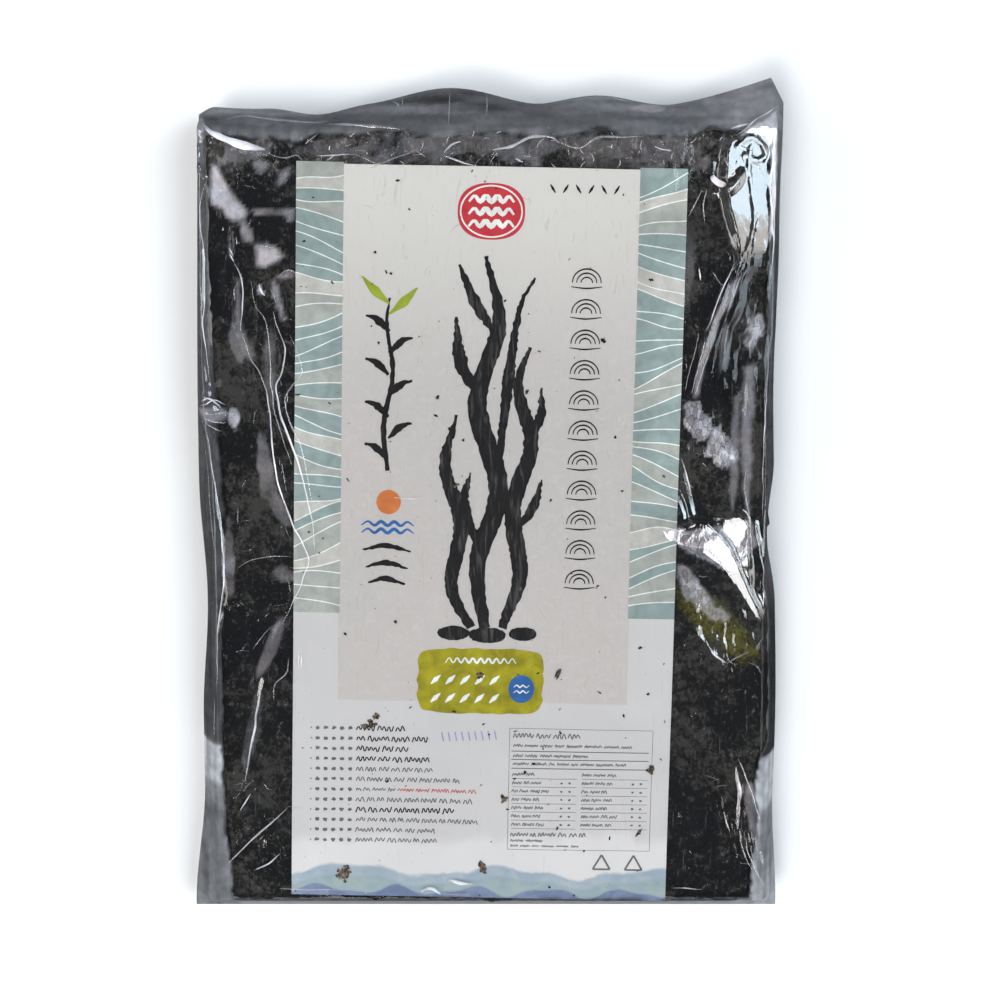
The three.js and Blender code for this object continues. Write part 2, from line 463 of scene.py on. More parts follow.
class Shade:
    def __init__(self, tree, owner):
        self.tree = tree
        self.owner = owner
        tree.nodes.clear()

    @classmethod
    def forMaterial(cls, name):
        material = bpy.data.materials.new(name)
        material.use_nodes = True
        return cls(material.node_tree, material)

    @classmethod
    def forWorld(cls, name):
        world = bpy.data.worlds.new(name)
        world.use_nodes = True
        return cls(world.node_tree, world)

    def node(self, kind, settings=None, inputs=None, output=0):
        made = self.tree.nodes.new("ShaderNode" + kind)
        for key, value in (settings or {}).items():
            setattr(made, key, value)
        for key, value in (inputs or {}).items():
            if isinstance(value, Wire):
                self.tree.links.new(value.socket, made.inputs[key])
            else:
                made.inputs[key].default_value = value
        return Wire(self, made.outputs[output])

    def blend(self, share, a, b):  # two colours
        a = a if isinstance(a, Wire) else (*a, 1)
        b = b if isinstance(b, Wire) else (*b, 1)
        return self.node("Mix", {"data_type": "RGBA"}, {0: share, 6: a, 7: b}, 2)

    def place(self, turn=0.0, stretch=(1, 1, 1)):  # places on the piece in millimetres
        own = self.node("TexCoord", output=3)
        scale = tuple(value / mm for value in stretch)
        return self.node("Mapping", None, {"Vector": own, "Rotation": (0, 0, turn), "Scale": scale})

    def parts(self, vector):
        split = self.node("SeparateXYZ", None, {0: vector}).socket.node
        return [Wire(self, socket) for socket in split.outputs]

    def attribute(self, name):
        return self.node("Attribute", {"attribute_name": name}, output=2)

    def plain(self, colour):
        return self.node("BsdfDiffuse", None, {"Color": (*colour, 1)})

    def over(self, share, under, upper):  # one surface over another
        return self.node("MixShader", None, {0: share, 1: under, 2: upper})

    def noise(self, vector, scale, detail=3.0, rough=0.55, twist=0.0):
        inputs = {"Vector": vector, "Scale": scale, "Detail": detail, "Roughness": rough,
                  "Distortion": twist}
        return self.node("TexNoise", None, inputs)

    def bump(self, height, strength, distance):
        return self.node("Bump", None, {"Height": height, "Strength": strength, "Distance": distance})

    def close(self, surface, kind="OutputMaterial"):
        out = self.tree.nodes.new("ShaderNode" + kind)
        self.tree.links.new(surface.socket, out.inputs["Surface"])
        return self.owner

    def closeMatte(self, colour, rough, specular, **more):  # a solid surface; more sockets by their names
        inputs = {"Base Color": colour, "Roughness": rough, "Specular IOR Level": specular, **more}
        return self.close(self.node("BsdfPrincipled", None, inputs))


# ---- clear film
film = {
    "columnCounts": [20, 40, 22, 44, 34, 40, 14],
    "rowLines": [-141.9, -141.3, -45, 2, 112],
    "rowCounts": [9, 2, 84, 56, 98, 46],
    "shoulderLeft": 6.0,
    "shoulderLow": 2.7,
    "shoulderRight": 1.6,
    "clearance": 0.77,
    "paperStep": 0.2,
    "paperSkirt": 3.2,
    "rimThickness": 1.0,
    "underInset": 1.5,
    "baseInset": 2.0,
    "mirror": 0.11,
    "grazing": 0.45,
    "roughness": 0.035,
    "toneLeft": [  # y, grey of the margin
        (-145, 0.13), (-125, 0.12), (-115, 0.15), (-110.5, 0.1), (-106, 0.15), (-99.5, 0.2), (-98.2, 0.33),
        (-85, 0.34), (-83.8, 0.05), (-40, 0.042), (20, 0.05), (60, 0.05), (115, 0.085), (128, 0.12),
    ],
    "toneRight": [
        (-145, 0.26), (-135, 0.26), (-129, 0.15), (-109, 0.17), (-107, 0.33), (-90, 0.36), (-88.6, 0.02),
        (-36, 0.018), (-24, 0.045), (40, 0.05), (110, 0.06), (128, 0.1),
    ],
    "smoke": (0.85, 0.88, 0.935),
    "smokeCover": 0.93,
    # colours of the painted glare and haze
    "hazeAndGlare": [(0.80, 0.79, 0.88), (0.90, 0.81, 0.84)],
    "clearMilk": 0.004,
    # how white the creases are painted, a painted highlight
    "creaseHighlight": {"bright": 0.86, "faint": 0.34},
    "wideCrease": 1.6,
    "beadHeight": 0.32,
    "foldTaper": 0.8,
}
# The long folds at both sides, which columns of the film's mesh follow: y, x.
ridgeLeft = [(-148.6, -87), (-97, -85.5), (-79, -83), (-71, -81.5), (-62, -80), (-46, -74), (-41, -71),
             (-29, -66.7), (-18.6, -62.2), (-14.4, -63), (-5, -67.5), (4, -70.5), (15, -72.4),
             (25, -74.7), (34, -75), (42, -77), (52, -81), (62, -84), (82, -84), (96, -86), (118, -82),
             (141, -80)]
ridgeRight = [(-148.6, 94), (-131.8, 93), (-115, 90.8), (-105.6, 91), (-95, 89.4), (-86, 86), (-60, 84),
              (-38, 84), (-12, 80), (10, 74), (30, 72), (42, 72.7), (61.5, 76.6), (73, 81), (84, 83.5),
              (98, 82), (121, 82.2), (128, 84), (141, 84)]

# Each fold is a ridge along its points: height, widths to its left and right going along it, and how
# hollow its sides are (1 is a flat facet).
folds = [
    {"points": [(-87, 98), (-84, 82), (-84, 62), (-81, 52), (-77, 42), (-75, 34), (-74.7, 25),
                (-72.4, 15), (-70.5, 4), (-67.5, -5), (-63, -14), (-62.2, -18.6)], "height": 0.44,
     "left": 2.4, "right": 9.0, "hollow": 1.5},
    {"points": [(-62.2, -18.6), (-66.7, -29), (-71, -41), (-74, -46), (-80, -62), (-81.5, -71),
                (-83, -79), (-85.5, -97)], "height": 0.65, "left": 2.0, "right": 7.0, "hollow": 1.7},
    {"points": [(-73.7, 68), (-70.7, 61), (-69.5, 53), (-72.3, 45), (-72.4, 39), (-70, 30), (-67, 22.6),
                (-64.8, 13.5), (-63, 7.5), (-61, -2), (-60.2, -15.4)], "height": 0.34, "left": 1.7,
     "right": 2.6, "hollow": 1.4},
    {"points": [(-78, 78), (-77, 62), (-74.5, 50), (-71.5, 36), (-69, 22), (-66.5, 8)], "height": 0.3,
     "left": 1.3, "right": 2.2, "hollow": 1.5},
    {"points": [(-99, 107), (-99.6, 93), (-98, 87), (-98.9, 59), (-96.8, 41)], "height": 0.5, "left": 1.4,
     "right": 2.0, "hollow": 1.4},
    {"points": [(-99.4, 31), (-96.8, 23), (-94.7, 2.6), (-92.6, -16.6), (-93.2, -33), (-94.8, -41),
                (-95.6, -47.5), (-96.6, -65)], "height": 0.65, "left": 1.6, "right": 3.4, "hollow": 1.5},
    {"points": [(-100.5, 26), (-98.6, 8), (-96.4, -14), (-96.2, -34)], "height": 0.45, "left": 1.2,
     "right": 1.6, "hollow": 1.4},
    {"points": [(-103, 40), (-97, 38.5), (-91.5, 35.5)], "height": 0.65, "left": 2.2, "right": 2.2,
     "hollow": 1.4},
    {"points": [(-102, 37), (-96, 35), (-92, 36)], "height": 0.45, "left": 1.6, "right": 1.6,
     "hollow": 1.4},
    {"points": [(-97, 131.3), (-90, 127.6), (-82.5, 125), (-75, 123.4), (-68, 122)], "height": 0.94,
     "left": 2.2, "right": 4.2, "hollow": 1.3},
    {"points": [(-71, -107.4), (-80, -117), (-93.2, -128.1), (-104, -143)], "height": 0.59, "left": 1.6,
     "right": 2.6, "hollow": 1.4},
    {"points": [(-83.5, -102.3), (-88.6, -109.6), (-94, -122)], "height": 0.4, "left": 1.5, "right": 1.8,
     "hollow": 1.4},
    {"points": [(-70, -122), (-77, -127), (-86, -134)], "height": 0.4, "left": 1.5, "right": 2.2,
     "hollow": 1.4},
    {"points": [(-14, 121.5), (-11, 125), (-6, 127)], "height": 0.56, "left": 1.8, "right": 2.6,
     "hollow": 1.3},
    {"points": [(-2, 121.5), (2.1, 122.4), (12.4, 125.1), (18.9, 126.5), (25.7, 125.1), (32.6, 122.6)],
     "height": 0.74, "left": 2.0, "right": 2.8, "hollow": 1.3},
    {"points": [(93.5, 85.5), (88.4, 80), (87.2, 71.4), (83.5, 61.5), (81.6, 49)], "height": 0.56,
     "left": 2.4, "right": 1.6, "hollow": 1.3},
    {"points": [(91, 92), (86.5, 80), (84.5, 70), (80.3, 57), (77.5, 44)], "height": 0.28, "left": 1.1,
     "right": 1.1, "hollow": 1.3},
    {"points": [(99.5, 130), (98, 112), (99, 92), (97.4, 74)], "height": 0.31, "left": 1.4, "right": 1.8,
     "hollow": 1.3},
    {"points": [(93, 131), (90, 118), (92, 100), (90.5, 84)], "height": 0.19, "left": 1.2, "right": 1.0,
     "hollow": 1.3},
    {"points": [(86, 124), (90, 127), (94, 125.5), (96, 121.5), (92.5, 119.5), (88.5, 121)],
     "height": 0.37, "left": 1.3, "right": 1.3, "hollow": 1.3},
    {"points": [(76, 112), (80, 109.5), (84.5, 110.5), (88, 115)], "height": 0.93, "left": 3.0,
     "right": 2.4, "hollow": 1.3},
    {"points": [(97.1, 58), (97.1, 41.4), (97.5, 18), (97.9, -4.1)], "height": 0.5, "left": 1.3,
     "right": 1.5, "hollow": 1.4},
    {"points": [(69, 12), (71.5, 2), (73.5, -5)], "height": 0.37, "left": 1.1, "right": 1.3,
     "hollow": 1.3},
    {"points": [(66.5, 4), (69, -3), (70, -9)], "height": 0.31, "left": 1.1, "right": 1.2, "hollow": 1.3},
    {"points": [(66, -15), (76, -20), (85, -28.5), (92, -38.5), (97, -43.5)], "height": 0.16, "left": 3.6,
     "right": 5.0, "hollow": 1.2},
    {"points": [(69, -30), (76, -40), (84, -48.5), (93, -50.5), (99, -45)], "height": 0.16, "left": 2.6,
     "right": 1.8, "hollow": 1.3},
    {"points": [(73, -41), (78.5, -50), (84.5, -56), (90, -54)], "height": 0.26, "left": 1.5,
     "right": 1.5, "hollow": 1.3},
    {"points": [(86, -82), (89.4, -95), (91, -105.6), (90.8, -115.1), (95.1, -131.8), (101, -144)],
     "height": 0.2, "left": 4.0, "right": 1.8, "hollow": 1.4},
    {"points": [(82.5, -102), (84.7, -109), (88, -116), (93, -130)], "height": 0.37, "left": 1.4,
     "right": 1.2, "hollow": 1.4},
    {"points": [(96.6, -105), (97.5, -118.8), (99.3, -128.8), (103.5, -140.7)], "height": 0.34,
     "left": 1.4, "right": 1.6, "hollow": 1.4},
    {"points": [(94, -112), (96, -124), (100, -136)], "height": 0.31, "left": 1.1, "right": 1.1,
     "hollow": 1.4},
]

# Broad flat folds: the film rises from the foot line at a steady slope and drops behind the edge line.
tilts = [
    {
        "edge": [(110, 144.5), (103, 139.5), (94, 133.5), (86.2, 128), (83.5, 125.3), (82.2, 120.9),
                 (82.4, 111), (83.7, 104), (85.6, 98), (87.6, 88.5), (84.8, 80), (80.3, 69), (76, 58),
                 (72.7, 44)],
        "foot": [(101.8, 150), (101.8, 120), (101.6, 101), (96.5, 89.5), (91.5, 83.7), (88.4, 77.5),
                 (86.2, 71), (82, 62), (78.4, 50), (74.8, 36)],
        "slope": 0.215, "drop": 2.6, "fade": (0.0, 0.1),
    },
    {
        "edge": [(60, -7), (67.2, -6.2), (74.2, -4.1), (79, -5.3), (84, -11), (88.5, -19), (92.5, -28),
                 (96, -36), (99, -41)],
        "foot": [(60, -7.6), (67, -12.2), (70.4, -13.2), (78.5, -17.2), (86, -24.5), (90, -30),
                 (94.5, -37.5), (98.6, -42.5)],
        "slope": 0.36, "drop": 1.6, "fade": (0.1, 0.06),
    },
    {
        "edge": [(78, -3.6), (84, -2.4), (88, -2.4), (91, -4.6), (92.2, -14), (93, -24), (94.6, -32),
                 (98.5, -40)],
        "foot": [(77, -6), (83, -11.5), (87.5, -19.5), (91.3, -28.5), (95, -36.5), (98.6, -42)],
        "slope": 0.36, "drop": 1.4, "fade": (0.12, 0.06),
    },
    {
        "edge": [(94.6, -3.5), (96.1, -15), (98, -26), (100.2, -35), (102, -41.5)],
        "foot": [(92.8, -4), (94, -15), (95.4, -26), (98, -36), (101, -43)],
        "slope": 0.5, "drop": 1.6, "fade": (0.1, 0.05),
    },
]

# Patches of crumpled film: middle, reach, cell size, the way its cells lean in degrees and how much
# that varies.
crumples = [
    {"at": (79, 24), "reach": (13, 15), "cell": (3.0, 3.8), "lean": (6, 2), "spread": 6, "seed": 11},
    {"at": (-84, 104), "reach": (19, 25), "cell": (5, 7), "lean": (-2, 0), "spread": 4, "seed": 12},
    {"at": (-97, 38), "reach": (11, 11), "cell": (4.5, 3.5), "lean": (-4, 0), "spread": 12, "seed": 13},
    {"at": (-99, 124), "reach": (10, 14), "cell": (3.6, 4.6), "lean": (-6, -8), "spread": 14, "seed": 18},
    {"at": (84, -42), "reach": (17, 13), "cell": (3.4, 3.0), "lean": (0, -4), "spread": 4, "seed": 14},
    {"at": (92, -112), "reach": (12, 34), "cell": (4.4, 11), "lean": (2, 0), "spread": 1.5, "seed": 15},
    {"at": (-8, 124), "reach": (92, 7), "cell": (4.5, 2.6), "lean": (0, -5), "spread": 8, "seed": 16},
    {"at": (72, 118), "reach": (12, 14), "cell": (3.4, 12), "lean": (3, -2), "spread": 6, "seed": 19},
    {"at": (-84, -40), "reach": (16, 60), "cell": (7, 19), "lean": (-2, 0), "spread": 2.5, "seed": 17},
    {"at": (90, 50), "reach": (9, 26), "cell": (3.6, 12), "lean": (2, 0), "spread": 4, "seed": 20},
]

# Painted reflections: crumpled milky planes in the film that stand in for light it mirrors: corners,
# strength, how far their edge fades and how torn it is.
glareVeils = [
    {"corners": [(-94.2, 119.4), (-91.5, 118.8), (-88.1, 112.8), (-86.1, 109.2), (-80.8, 102.6),
                 (-82.5, 99.2), (-86.3, 98.5), (-89.6, 100.4), (-91.0, 103.3), (-94.4, 104.4),
                 (-95.2, 109.9)], "strength": 0.6, "soft": 2.2, "torn": 0.5},
    {"corners": [(-78.8, 120.9), (-75.1, 120.5), (-73.3, 118.0), (-74.8, 115.0), (-77.8, 115.4),
                 (-79.6, 118.0)], "strength": 0.26, "soft": 2.0, "torn": 1.0},
    {"corners": [(-71.8, 117.2), (-65.9, 118.0), (-64.8, 114.3), (-69.7, 110.6), (-72.6, 112.1)],
     "strength": 0.24, "soft": 2.2, "torn": 1.4},
    {"corners": [(-80.6, 102.9), (-76.5, 103.7), (-72.0, 103.3), (-65.3, 104.0), (-65.4, 101.1),
                 (-72.1, 101.7), (-78.8, 100.9)], "strength": 0.3, "soft": 1.1, "torn": 0.5},
    {"corners": [(-70.9, 103.7), (-64.9, 104.4), (-65.0, 98.1), (-67.6, 98.9)], "strength": 0.28,
     "soft": 1.8, "torn": 1.0},
    {"corners": [(-84.4, 99.2), (-81.8, 98.9), (-80.0, 95.2), (-79.7, 92.2), (-82.7, 92.2),
                 (-84.5, 95.2)], "strength": 0.32, "soft": 0.9, "torn": 0.7},
    {"corners": [(-80.0, 91.9), (-75.2, 92.6), (-71.5, 90.8), (-68.4, 87.4), (-71.2, 85.2), (-75.3, 83.0),
                 (-79.0, 84.1)], "strength": 0.56, "soft": 2.2, "torn": 0.5},
    {"corners": [(-86.6, 80.4), (-83.8, 80.4), (-83.7, 67.0), (-83.2, 61.1), (-78.8, 53.6), (-80.3, 50.6),
                 (-86.3, 52.8), (-88.1, 59.6)], "strength": 0.2, "soft": 2.4, "torn": 0.9},
    {"corners": [(-72.4, 81.1), (-67.8, 82.6), (-65.6, 81.1), (-65.6, 79.7), (-71.3, 79.7)],
     "strength": 0.24, "soft": 0.8, "torn": 0.9},
    {"corners": [(-73.2, 78.2), (-71.3, 77.4), (-70.2, 72.2), (-68.8, 65.5), (-70.3, 64.8),
                 (-72.5, 70.7)], "strength": 0.3, "soft": 0.9, "torn": 0.6},
    {"corners": [(-78.8, 77.1), (-77.3, 77.8), (-76.2, 74.5), (-77.3, 73.7)], "strength": 0.6,
     "soft": 0.7, "torn": 0.4},
    {"corners": [(69.1, 36.0), (74.2, 37.4), (78.0, 32.8), (80.0, 27.2), (76.3, 23.4), (70.6, 27.2)],
     "strength": 0.56, "soft": 1.0, "torn": 1.9},
    {"corners": [(78.6, 28.1), (82.7, 29.0), (85.6, 23.4), (88.5, 17.8), (84.8, 14.1), (80.1, 15.0),
                 (76.3, 19.7)], "strength": 0.66, "soft": 1.0, "torn": 1.8},
    {"corners": [(83.9, 78.1), (88.9, 80.8), (86.7, 74.4), (81.3, 65.2), (76.8, 51.4), (74.7, 39.3),
                 (71.9, 38.4), (74.0, 52.3), (78.5, 65.2)], "strength": 0.28, "soft": 1.1, "torn": 0.7},
    {"corners": [(91.5, 67.1), (96.5, 68.9), (95.7, 60.6), (93.5, 55.1), (90.7, 56.0), (90.1, 62.5)],
     "strength": 0.4, "soft": 1.4, "torn": 2.4},
    {"corners": [(88.9, 50.4), (94.5, 50.4), (93.6, 23.4), (93.2, -2.0), (90.4, -2.0), (88.4, 23.4)],
     "strength": 0.22, "soft": 1.8, "torn": 0.9},
    {"corners": [(86.2, 40), (89.2, 40), (88.8, 8), (87.2, -4), (84.6, 6)], "strength": 0.17, "soft": 1.4,
     "torn": 0.7},
    {"corners": [(66.5, -18), (71, -20.4), (76.5, -26.4), (81, -33.6), (87, -38.4), (85, -41),
                 (79, -39.6), (73.6, -36), (69, -29.4), (66.4, -22.6)], "strength": 0.5, "soft": 2.2,
     "torn": 1.6},
    {"corners": [(60.6, -8.4), (68.0, -6.6), (75.4, -6.9), (93.6, -3.6), (95.4, -12.9), (88.6, -23.4),
                 (84.0, -21.6), (75.4, -18.4), (68.4, -13.4)], "strength": 0.5, "soft": 1.6, "torn": 1.2},
    {"corners": [(99.9, 137.0), (100.2, 119.9), (100.0, 106.4), (98.6, 92.7), (97.5, 91.8), (97.5, 110.9),
                 (97.2, 123.5), (95.5, 127.6), (90.5, 128.5), (85.9, 127.0), (88.1, 129.8),
                 (94.1, 132.5)], "strength": 0.5, "soft": 0.8, "torn": 0.5},
]

# Milky places in the film, partly haze and partly painted sheen and reflection: middle, reach, lean to the
# right, strength and how torn the edge is.
glareHazes = [
    {"at": (-76.6, 86.8), "reach": (1.4, 1.2), "lean": 0.0, "strength": 0.5, "torn": 0.3},
    {"at": (-72, 74), "reach": (1.4, 7), "lean": -0.2, "strength": 0.24, "torn": 0.3},
    {"at": (-86, 57.3), "reach": (3, 8), "lean": -0.15, "strength": 0.17, "torn": 0.4},
    {"at": (-74.5, 50), "reach": (2.6, 17), "lean": 0.0, "strength": 0.1, "torn": 0.3},
    {"at": (-76.4, 13.5), "reach": (3.4, 13), "lean": -0.12, "strength": 0.13, "torn": 0.6},
    {"at": (-72, 0), "reach": (2.6, 9), "lean": -0.5, "strength": 0.14, "torn": 0.5},
    {"at": (-90, -20), "reach": (2.6, 16), "lean": 0.0, "strength": 0.15, "torn": 0.5},
    {"at": (-71, -23), "reach": (5, 3.4), "lean": 0.0, "strength": 0.12, "torn": 0.7},
    {"at": (-87.6, 32), "reach": (2.6, 3.8), "lean": 0.0, "strength": 0.42, "torn": 0.5},
    {"at": (-94.5, 33), "reach": (7, 3), "lean": 0.1, "strength": 0.26, "torn": 0.6},
    {"at": (-75.6, -49), "reach": (2.8, 14), "lean": 0.4, "strength": 0.17, "torn": 0.3},
    {"at": (-83, -80), "reach": (2.6, 18), "lean": 0.2, "strength": 0.07, "torn": 0.5},
    {"at": (82.6, 56), "reach": (1.6, 10), "lean": 0.1, "strength": 0.12, "torn": 0.3},
    {"at": (73, -11), "reach": (2.2, 5), "lean": 0.2, "strength": 0.3, "torn": 0.8},
    {"at": (69, 80), "reach": (3, 16), "lean": 0.1, "strength": 0.07, "torn": 0.6},
    {"at": (95.5, -108), "reach": (3, 13), "lean": -0.15, "strength": 0.2, "torn": 0.4},
    {"at": (56, 138.6), "reach": (7, 2.4), "lean": 0.0, "strength": 0.26, "torn": 0.5},
    {"at": (88, 140), "reach": (16, 7), "lean": 0.0, "strength": 0.1, "torn": 0.3},
    {"at": (-99, 131.5), "reach": (4, 5), "lean": 0.0, "strength": 0.4, "torn": 1.0},
    {"at": (-72, 134.5), "reach": (24, 3.4), "lean": 0.0, "strength": 0.08, "torn": 0.6},
    {"at": (-14, 137.5), "reach": (20, 2.6), "lean": 0.0, "strength": 0.08, "torn": 0.6},
    {"at": (6, 124.5), "reach": (78, 5), "lean": 0.0, "strength": 0.1, "torn": 1.6},
    {"at": (62, 122), "reach": (20, 6), "lean": 0.0, "strength": 0.1, "torn": 1.6},
    {"at": (14, 121), "reach": (6, 3), "lean": 0.0, "strength": 0.22, "torn": 1.8},
    {"at": (-84, 122), "reach": (9, 5), "lean": -0.3, "strength": 0.12, "torn": 1.4},
]

# Sharp creases of the film, each a fine bead that catches the light and is painted white as a painted
# highlight: width and places.
creases = {
    "bright": [
        (0.5, [(-84.5, 62), (-82.5, 56), (-81, 52), (-78, 47.5), (-75.5, 38.5), (-74.5, 29.5),
               (-73.5, 18), (-72, 8), (-70, 1.5), (-67.5, -5), (-64.5, -11.5), (-62, -18), (-63.5, -23.5),
               (-66, -29.5), (-68.5, -34.5), (-71.5, -41)]),
        (0.5, [(-86.5, 85.5), (-84.5, 81), (-83.5, 76), (-84, 68.5), (-84.5, 62)]),
        (0.6, [(-73.5, 68.5), (-71.5, 62), (-69.5, 55.5), (-70.5, 48), (-72.5, 43), (-72, 37.5),
               (-71, 31.5), (-68.5, 25.5), (-66.5, 20), (-64, 12), (-62, 2.5), (-60.5, -5.5),
               (-60, -14)]),
        (0.3, [(-95, 113.5), (-97, 108), (-98, 98), (-96.5, 85.5), (-97, 72.5), (-97.5, 62),
               (-95.5, 43)]),
        (0.4, [(-98.5, 31), (-96.5, 25), (-95.5, 17), (-94, 5), (-92.5, -4), (-92, -16.5), (-92, -25),
               (-93, -34), (-94.5, -43.5), (-95, -62.5)]),
        (2.5, [(-96, 131.5), (-93.5, 129), (-90, 127.5), (-82.5, 125), (-75, 123.5)]),
        (0.5, [(-88, 90.5), (-86.5, 87.5)]),
        (0.4, [(-88, 88.5), (-86.5, 85.5)]),
        (0.7, [(-78, 78), (-77, 75), (-76, 74)]),
        (0.4, [(-99.5, 36), (-97, 36.5), (-94, 38), (-90.5, 36.5)]),
        (0.6, [(-99.0, 37.6), (-95.8, 38.6), (-91.4, 35.4)]),
        (0.7, [(-79.5, -60.5), (-80.5, -69), (-82, -78.5), (-84, -88.5), (-85.5, -97.5)]),
        (0.4, [(-83.5, -102), (-87.5, -108)]),
        (0.5, [(-70, -107), (-79, -115), (-85, -120.5), (-92.5, -128)]),
        (0.5, [(-73.5, -124), (-78, -128), (-83, -130.5)]),
        (0.3, [(-74, -137), (-63, -137.5), (-51, -137.5)]),
        (0.4, [(-66, -51), (-66, -56.5)]),
        (0.4, [(-58, 121.5), (-52.5, 121.5), (-45, 122)]),
        (0.7, [(-14, 122.5), (-11, 125), (-8, 126)]),
        (0.6, [(-14, 121.5), (-9, 119.5), (-5.5, 118.5), (-2, 118)]),
        (1.1, [(2.5, 123.5), (9, 124.5), (15, 127.5), (19, 128), (23, 127.5), (25.5, 125.5)]),
        (0.6, [(10.5, 120.5), (13, 119)]),
        (0.5, [(58, 124.5), (60.5, 123.5), (64, 123)]),
        (0.5, [(85.5, 127.5), (92, 133), (100.5, 138.5)]),
        (0.7, [(84, 130.5), (85.5, 131), (90, 132)]),
        (2.4, [(77.5, 114.5), (79.5, 112.5), (82, 111)]),
        (0.5, [(81.5, 120), (82.5, 118), (84, 117), (85, 115), (83, 114), (80.5, 114)]),
        (0.4, [(100.5, 137.5), (99, 124), (99.5, 96.5), (98.5, 80)]),
        (0.5, [(74, 83.5), (74.5, 79)]),
        (0.4, [(86, 85.5), (83.5, 79.5), (79.5, 69.5), (76.5, 62)]),
        (0.3, [(98.5, 56.5), (98, 43), (97, 26.5), (97, 17.5), (97, 4.5), (97.5, -4.5)]),
        (0.5, [(68.5, 17.5), (71.5, 7.5), (73.5, 0.5)]),
        (0.7, [(62.5, -7), (68, -12), (78.5, -15), (86.5, -23.5)]),
        (0.4, [(75, -6.5), (77.5, -11), (78.5, -15)]),
        (0.4, [(77.5, -5.5), (78, -10.5)]),
        (0.7, [(78.5, -48.5), (81, -52), (85, -55)]),
        (0.7, [(74.5, -42), (75.5, -45.5)]),
        (1.4, [(89, -92.5), (90.5, -100.5), (90.5, -106), (90, -115)]),
        (0.5, [(85, -109), (87.5, -116)]),
        (1.0, [(98.5, -123), (100, -129.5)]),
        (0.5, [(95, -118.5), (97, -118.5)]),
        (0.3, [(67, -137), (78, -137.5)]),
        (1.1, [(-13.7, -134.5), (-12.0, -134.4), (-9.1, -135.1), (-4.5, -135.7)]),
        (1.2, [(-23.2, -138.3), (-21.2, -137.2), (-18.9, -137.2), (-16.0, -139.2)]),
        (0.35, [(-32, 4), (-27, 3.6), (-22.5, 3.3)]),
        (0.45, [(-65.3, -51), (-65.3, -56.5)]),
    ],
    "faint": [
        (0.4, [(-80.5, 79), (-79.5, 70.5), (-76.5, 66.5), (-75, 60.5), (-74.5, 46.5), (-74, 39.5),
               (-72.5, 31), (-69.5, 22), (-67.5, 15.5)]),
        (0.5, [(-67.5, 60.5), (-64, 51), (-64, 46.5), (-66.5, 43.5), (-69, 39.5), (-69.5, 37),
               (-68.5, 31.5), (-66.5, 27), (-64, 20.5), (-62.5, 13.5), (-61, 3)]),
        (0.3, [(-98.5, 27), (-97, 13.5), (-96.5, 3), (-95.5, -11), (-95, -20)]),
        (0.3, [(-98.5, 86.5), (-98, 72.5), (-98, 62)]),
        (0.4, [(-87.5, -21), (-82, -18), (-75.5, -17), (-68, -17)]),
        (0.4, [(-74.5, 122.5), (-72, 121), (-68, 120.5), (-64, 121.5), (-61.5, 118.5)]),
        (0.4, [(-72, 80), (-68.5, 82.5), (-66, 82), (-65, 79.5)]),
        (0.4, [(-99.5, 34), (-95.5, 33), (-90.5, 33.5), (-86.5, 32.5)]),
        (0.5, [(-98.4, 32), (-94.6, 30.4), (-90.4, 30.2)]),
        (0.5, [(-98, 30.6), (-95.2, 28.8), (-92, 27.2)]),
        (0.3, [(-75.5, -41.5), (-82, -50)]),
        (0.4, [(-69.5, -53.5), (-70.5, -58.5), (-74.5, -62.5), (-75, -68)]),
        (0.3, [(-96.5, -67.5), (-97, -82)]),
        (1.0, [(-89.5, 134), (-82.5, 135.5), (-74, 134.5), (-60.5, 133), (-54, 133.5)]),
        (1.0, [(-54, 132.5), (-42.5, 132), (-29, 130.5)]),
        (0.4, [(-61.5, 125.5), (-57, 128.5)]),
        (0.5, [(-45, 122), (-36.5, 119), (-29, 121.5), (-22.5, 123.5)]),
        (0.7, [(25, 126), (28, 125), (33, 124), (38.5, 127.5), (48, 127.5), (54.5, 128)]),
        (0.4, [(39, 142.5), (48, 141.5), (57, 138.5)]),
        (0.4, [(74.5, 110), (72.5, 106), (70, 101)]),
        (0.4, [(76, 110), (75, 104), (75.5, 98.5)]),
        (0.4, [(78, 82.5), (82, 77)]),
        (0.4, [(89, 82.5), (86.5, 76), (83, 67)]),
        (0.5, [(72, 40), (74, 50), (76, 58.5)]),
        (0.4, [(73, 40), (79.5, 60)]),
        (0.3, [(69.5, 41), (74, 61)]),
        (0.5, [(68, 6.5), (71, -1), (72, -6)]),
        (0.4, [(91, 13), (91, 4.5), (93, -4), (94, -7)]),
        (0.5, [(85, -55), (88, -53.5), (94, -50.5)]),
        (0.5, [(90.5, -115), (92, -123), (95.5, -130)]),
        (0.7, [(90, -89.5), (94, -99.5), (96, -105), (98.5, -113)]),
        (0.6, [(93, -118.5), (94.5, -125), (98, -132.5), (103, -140.5)]),
        (0.4, [(-16.6, -139.1), (-10.9, -139.2), (-4.5, -139.5)]),
        (0.35, [(-28.6, 143.4), (-28.4, 138.6)]),
        (0.35, [(-12.2, 144.2), (-12.2, 131.6)]),
        (0.35, [(0.6, 143.6), (0.6, 135.2)]),
        (0.7, [(-32, 141), (-30, 139.6), (-29.6, 138.2)]),
    ],
}


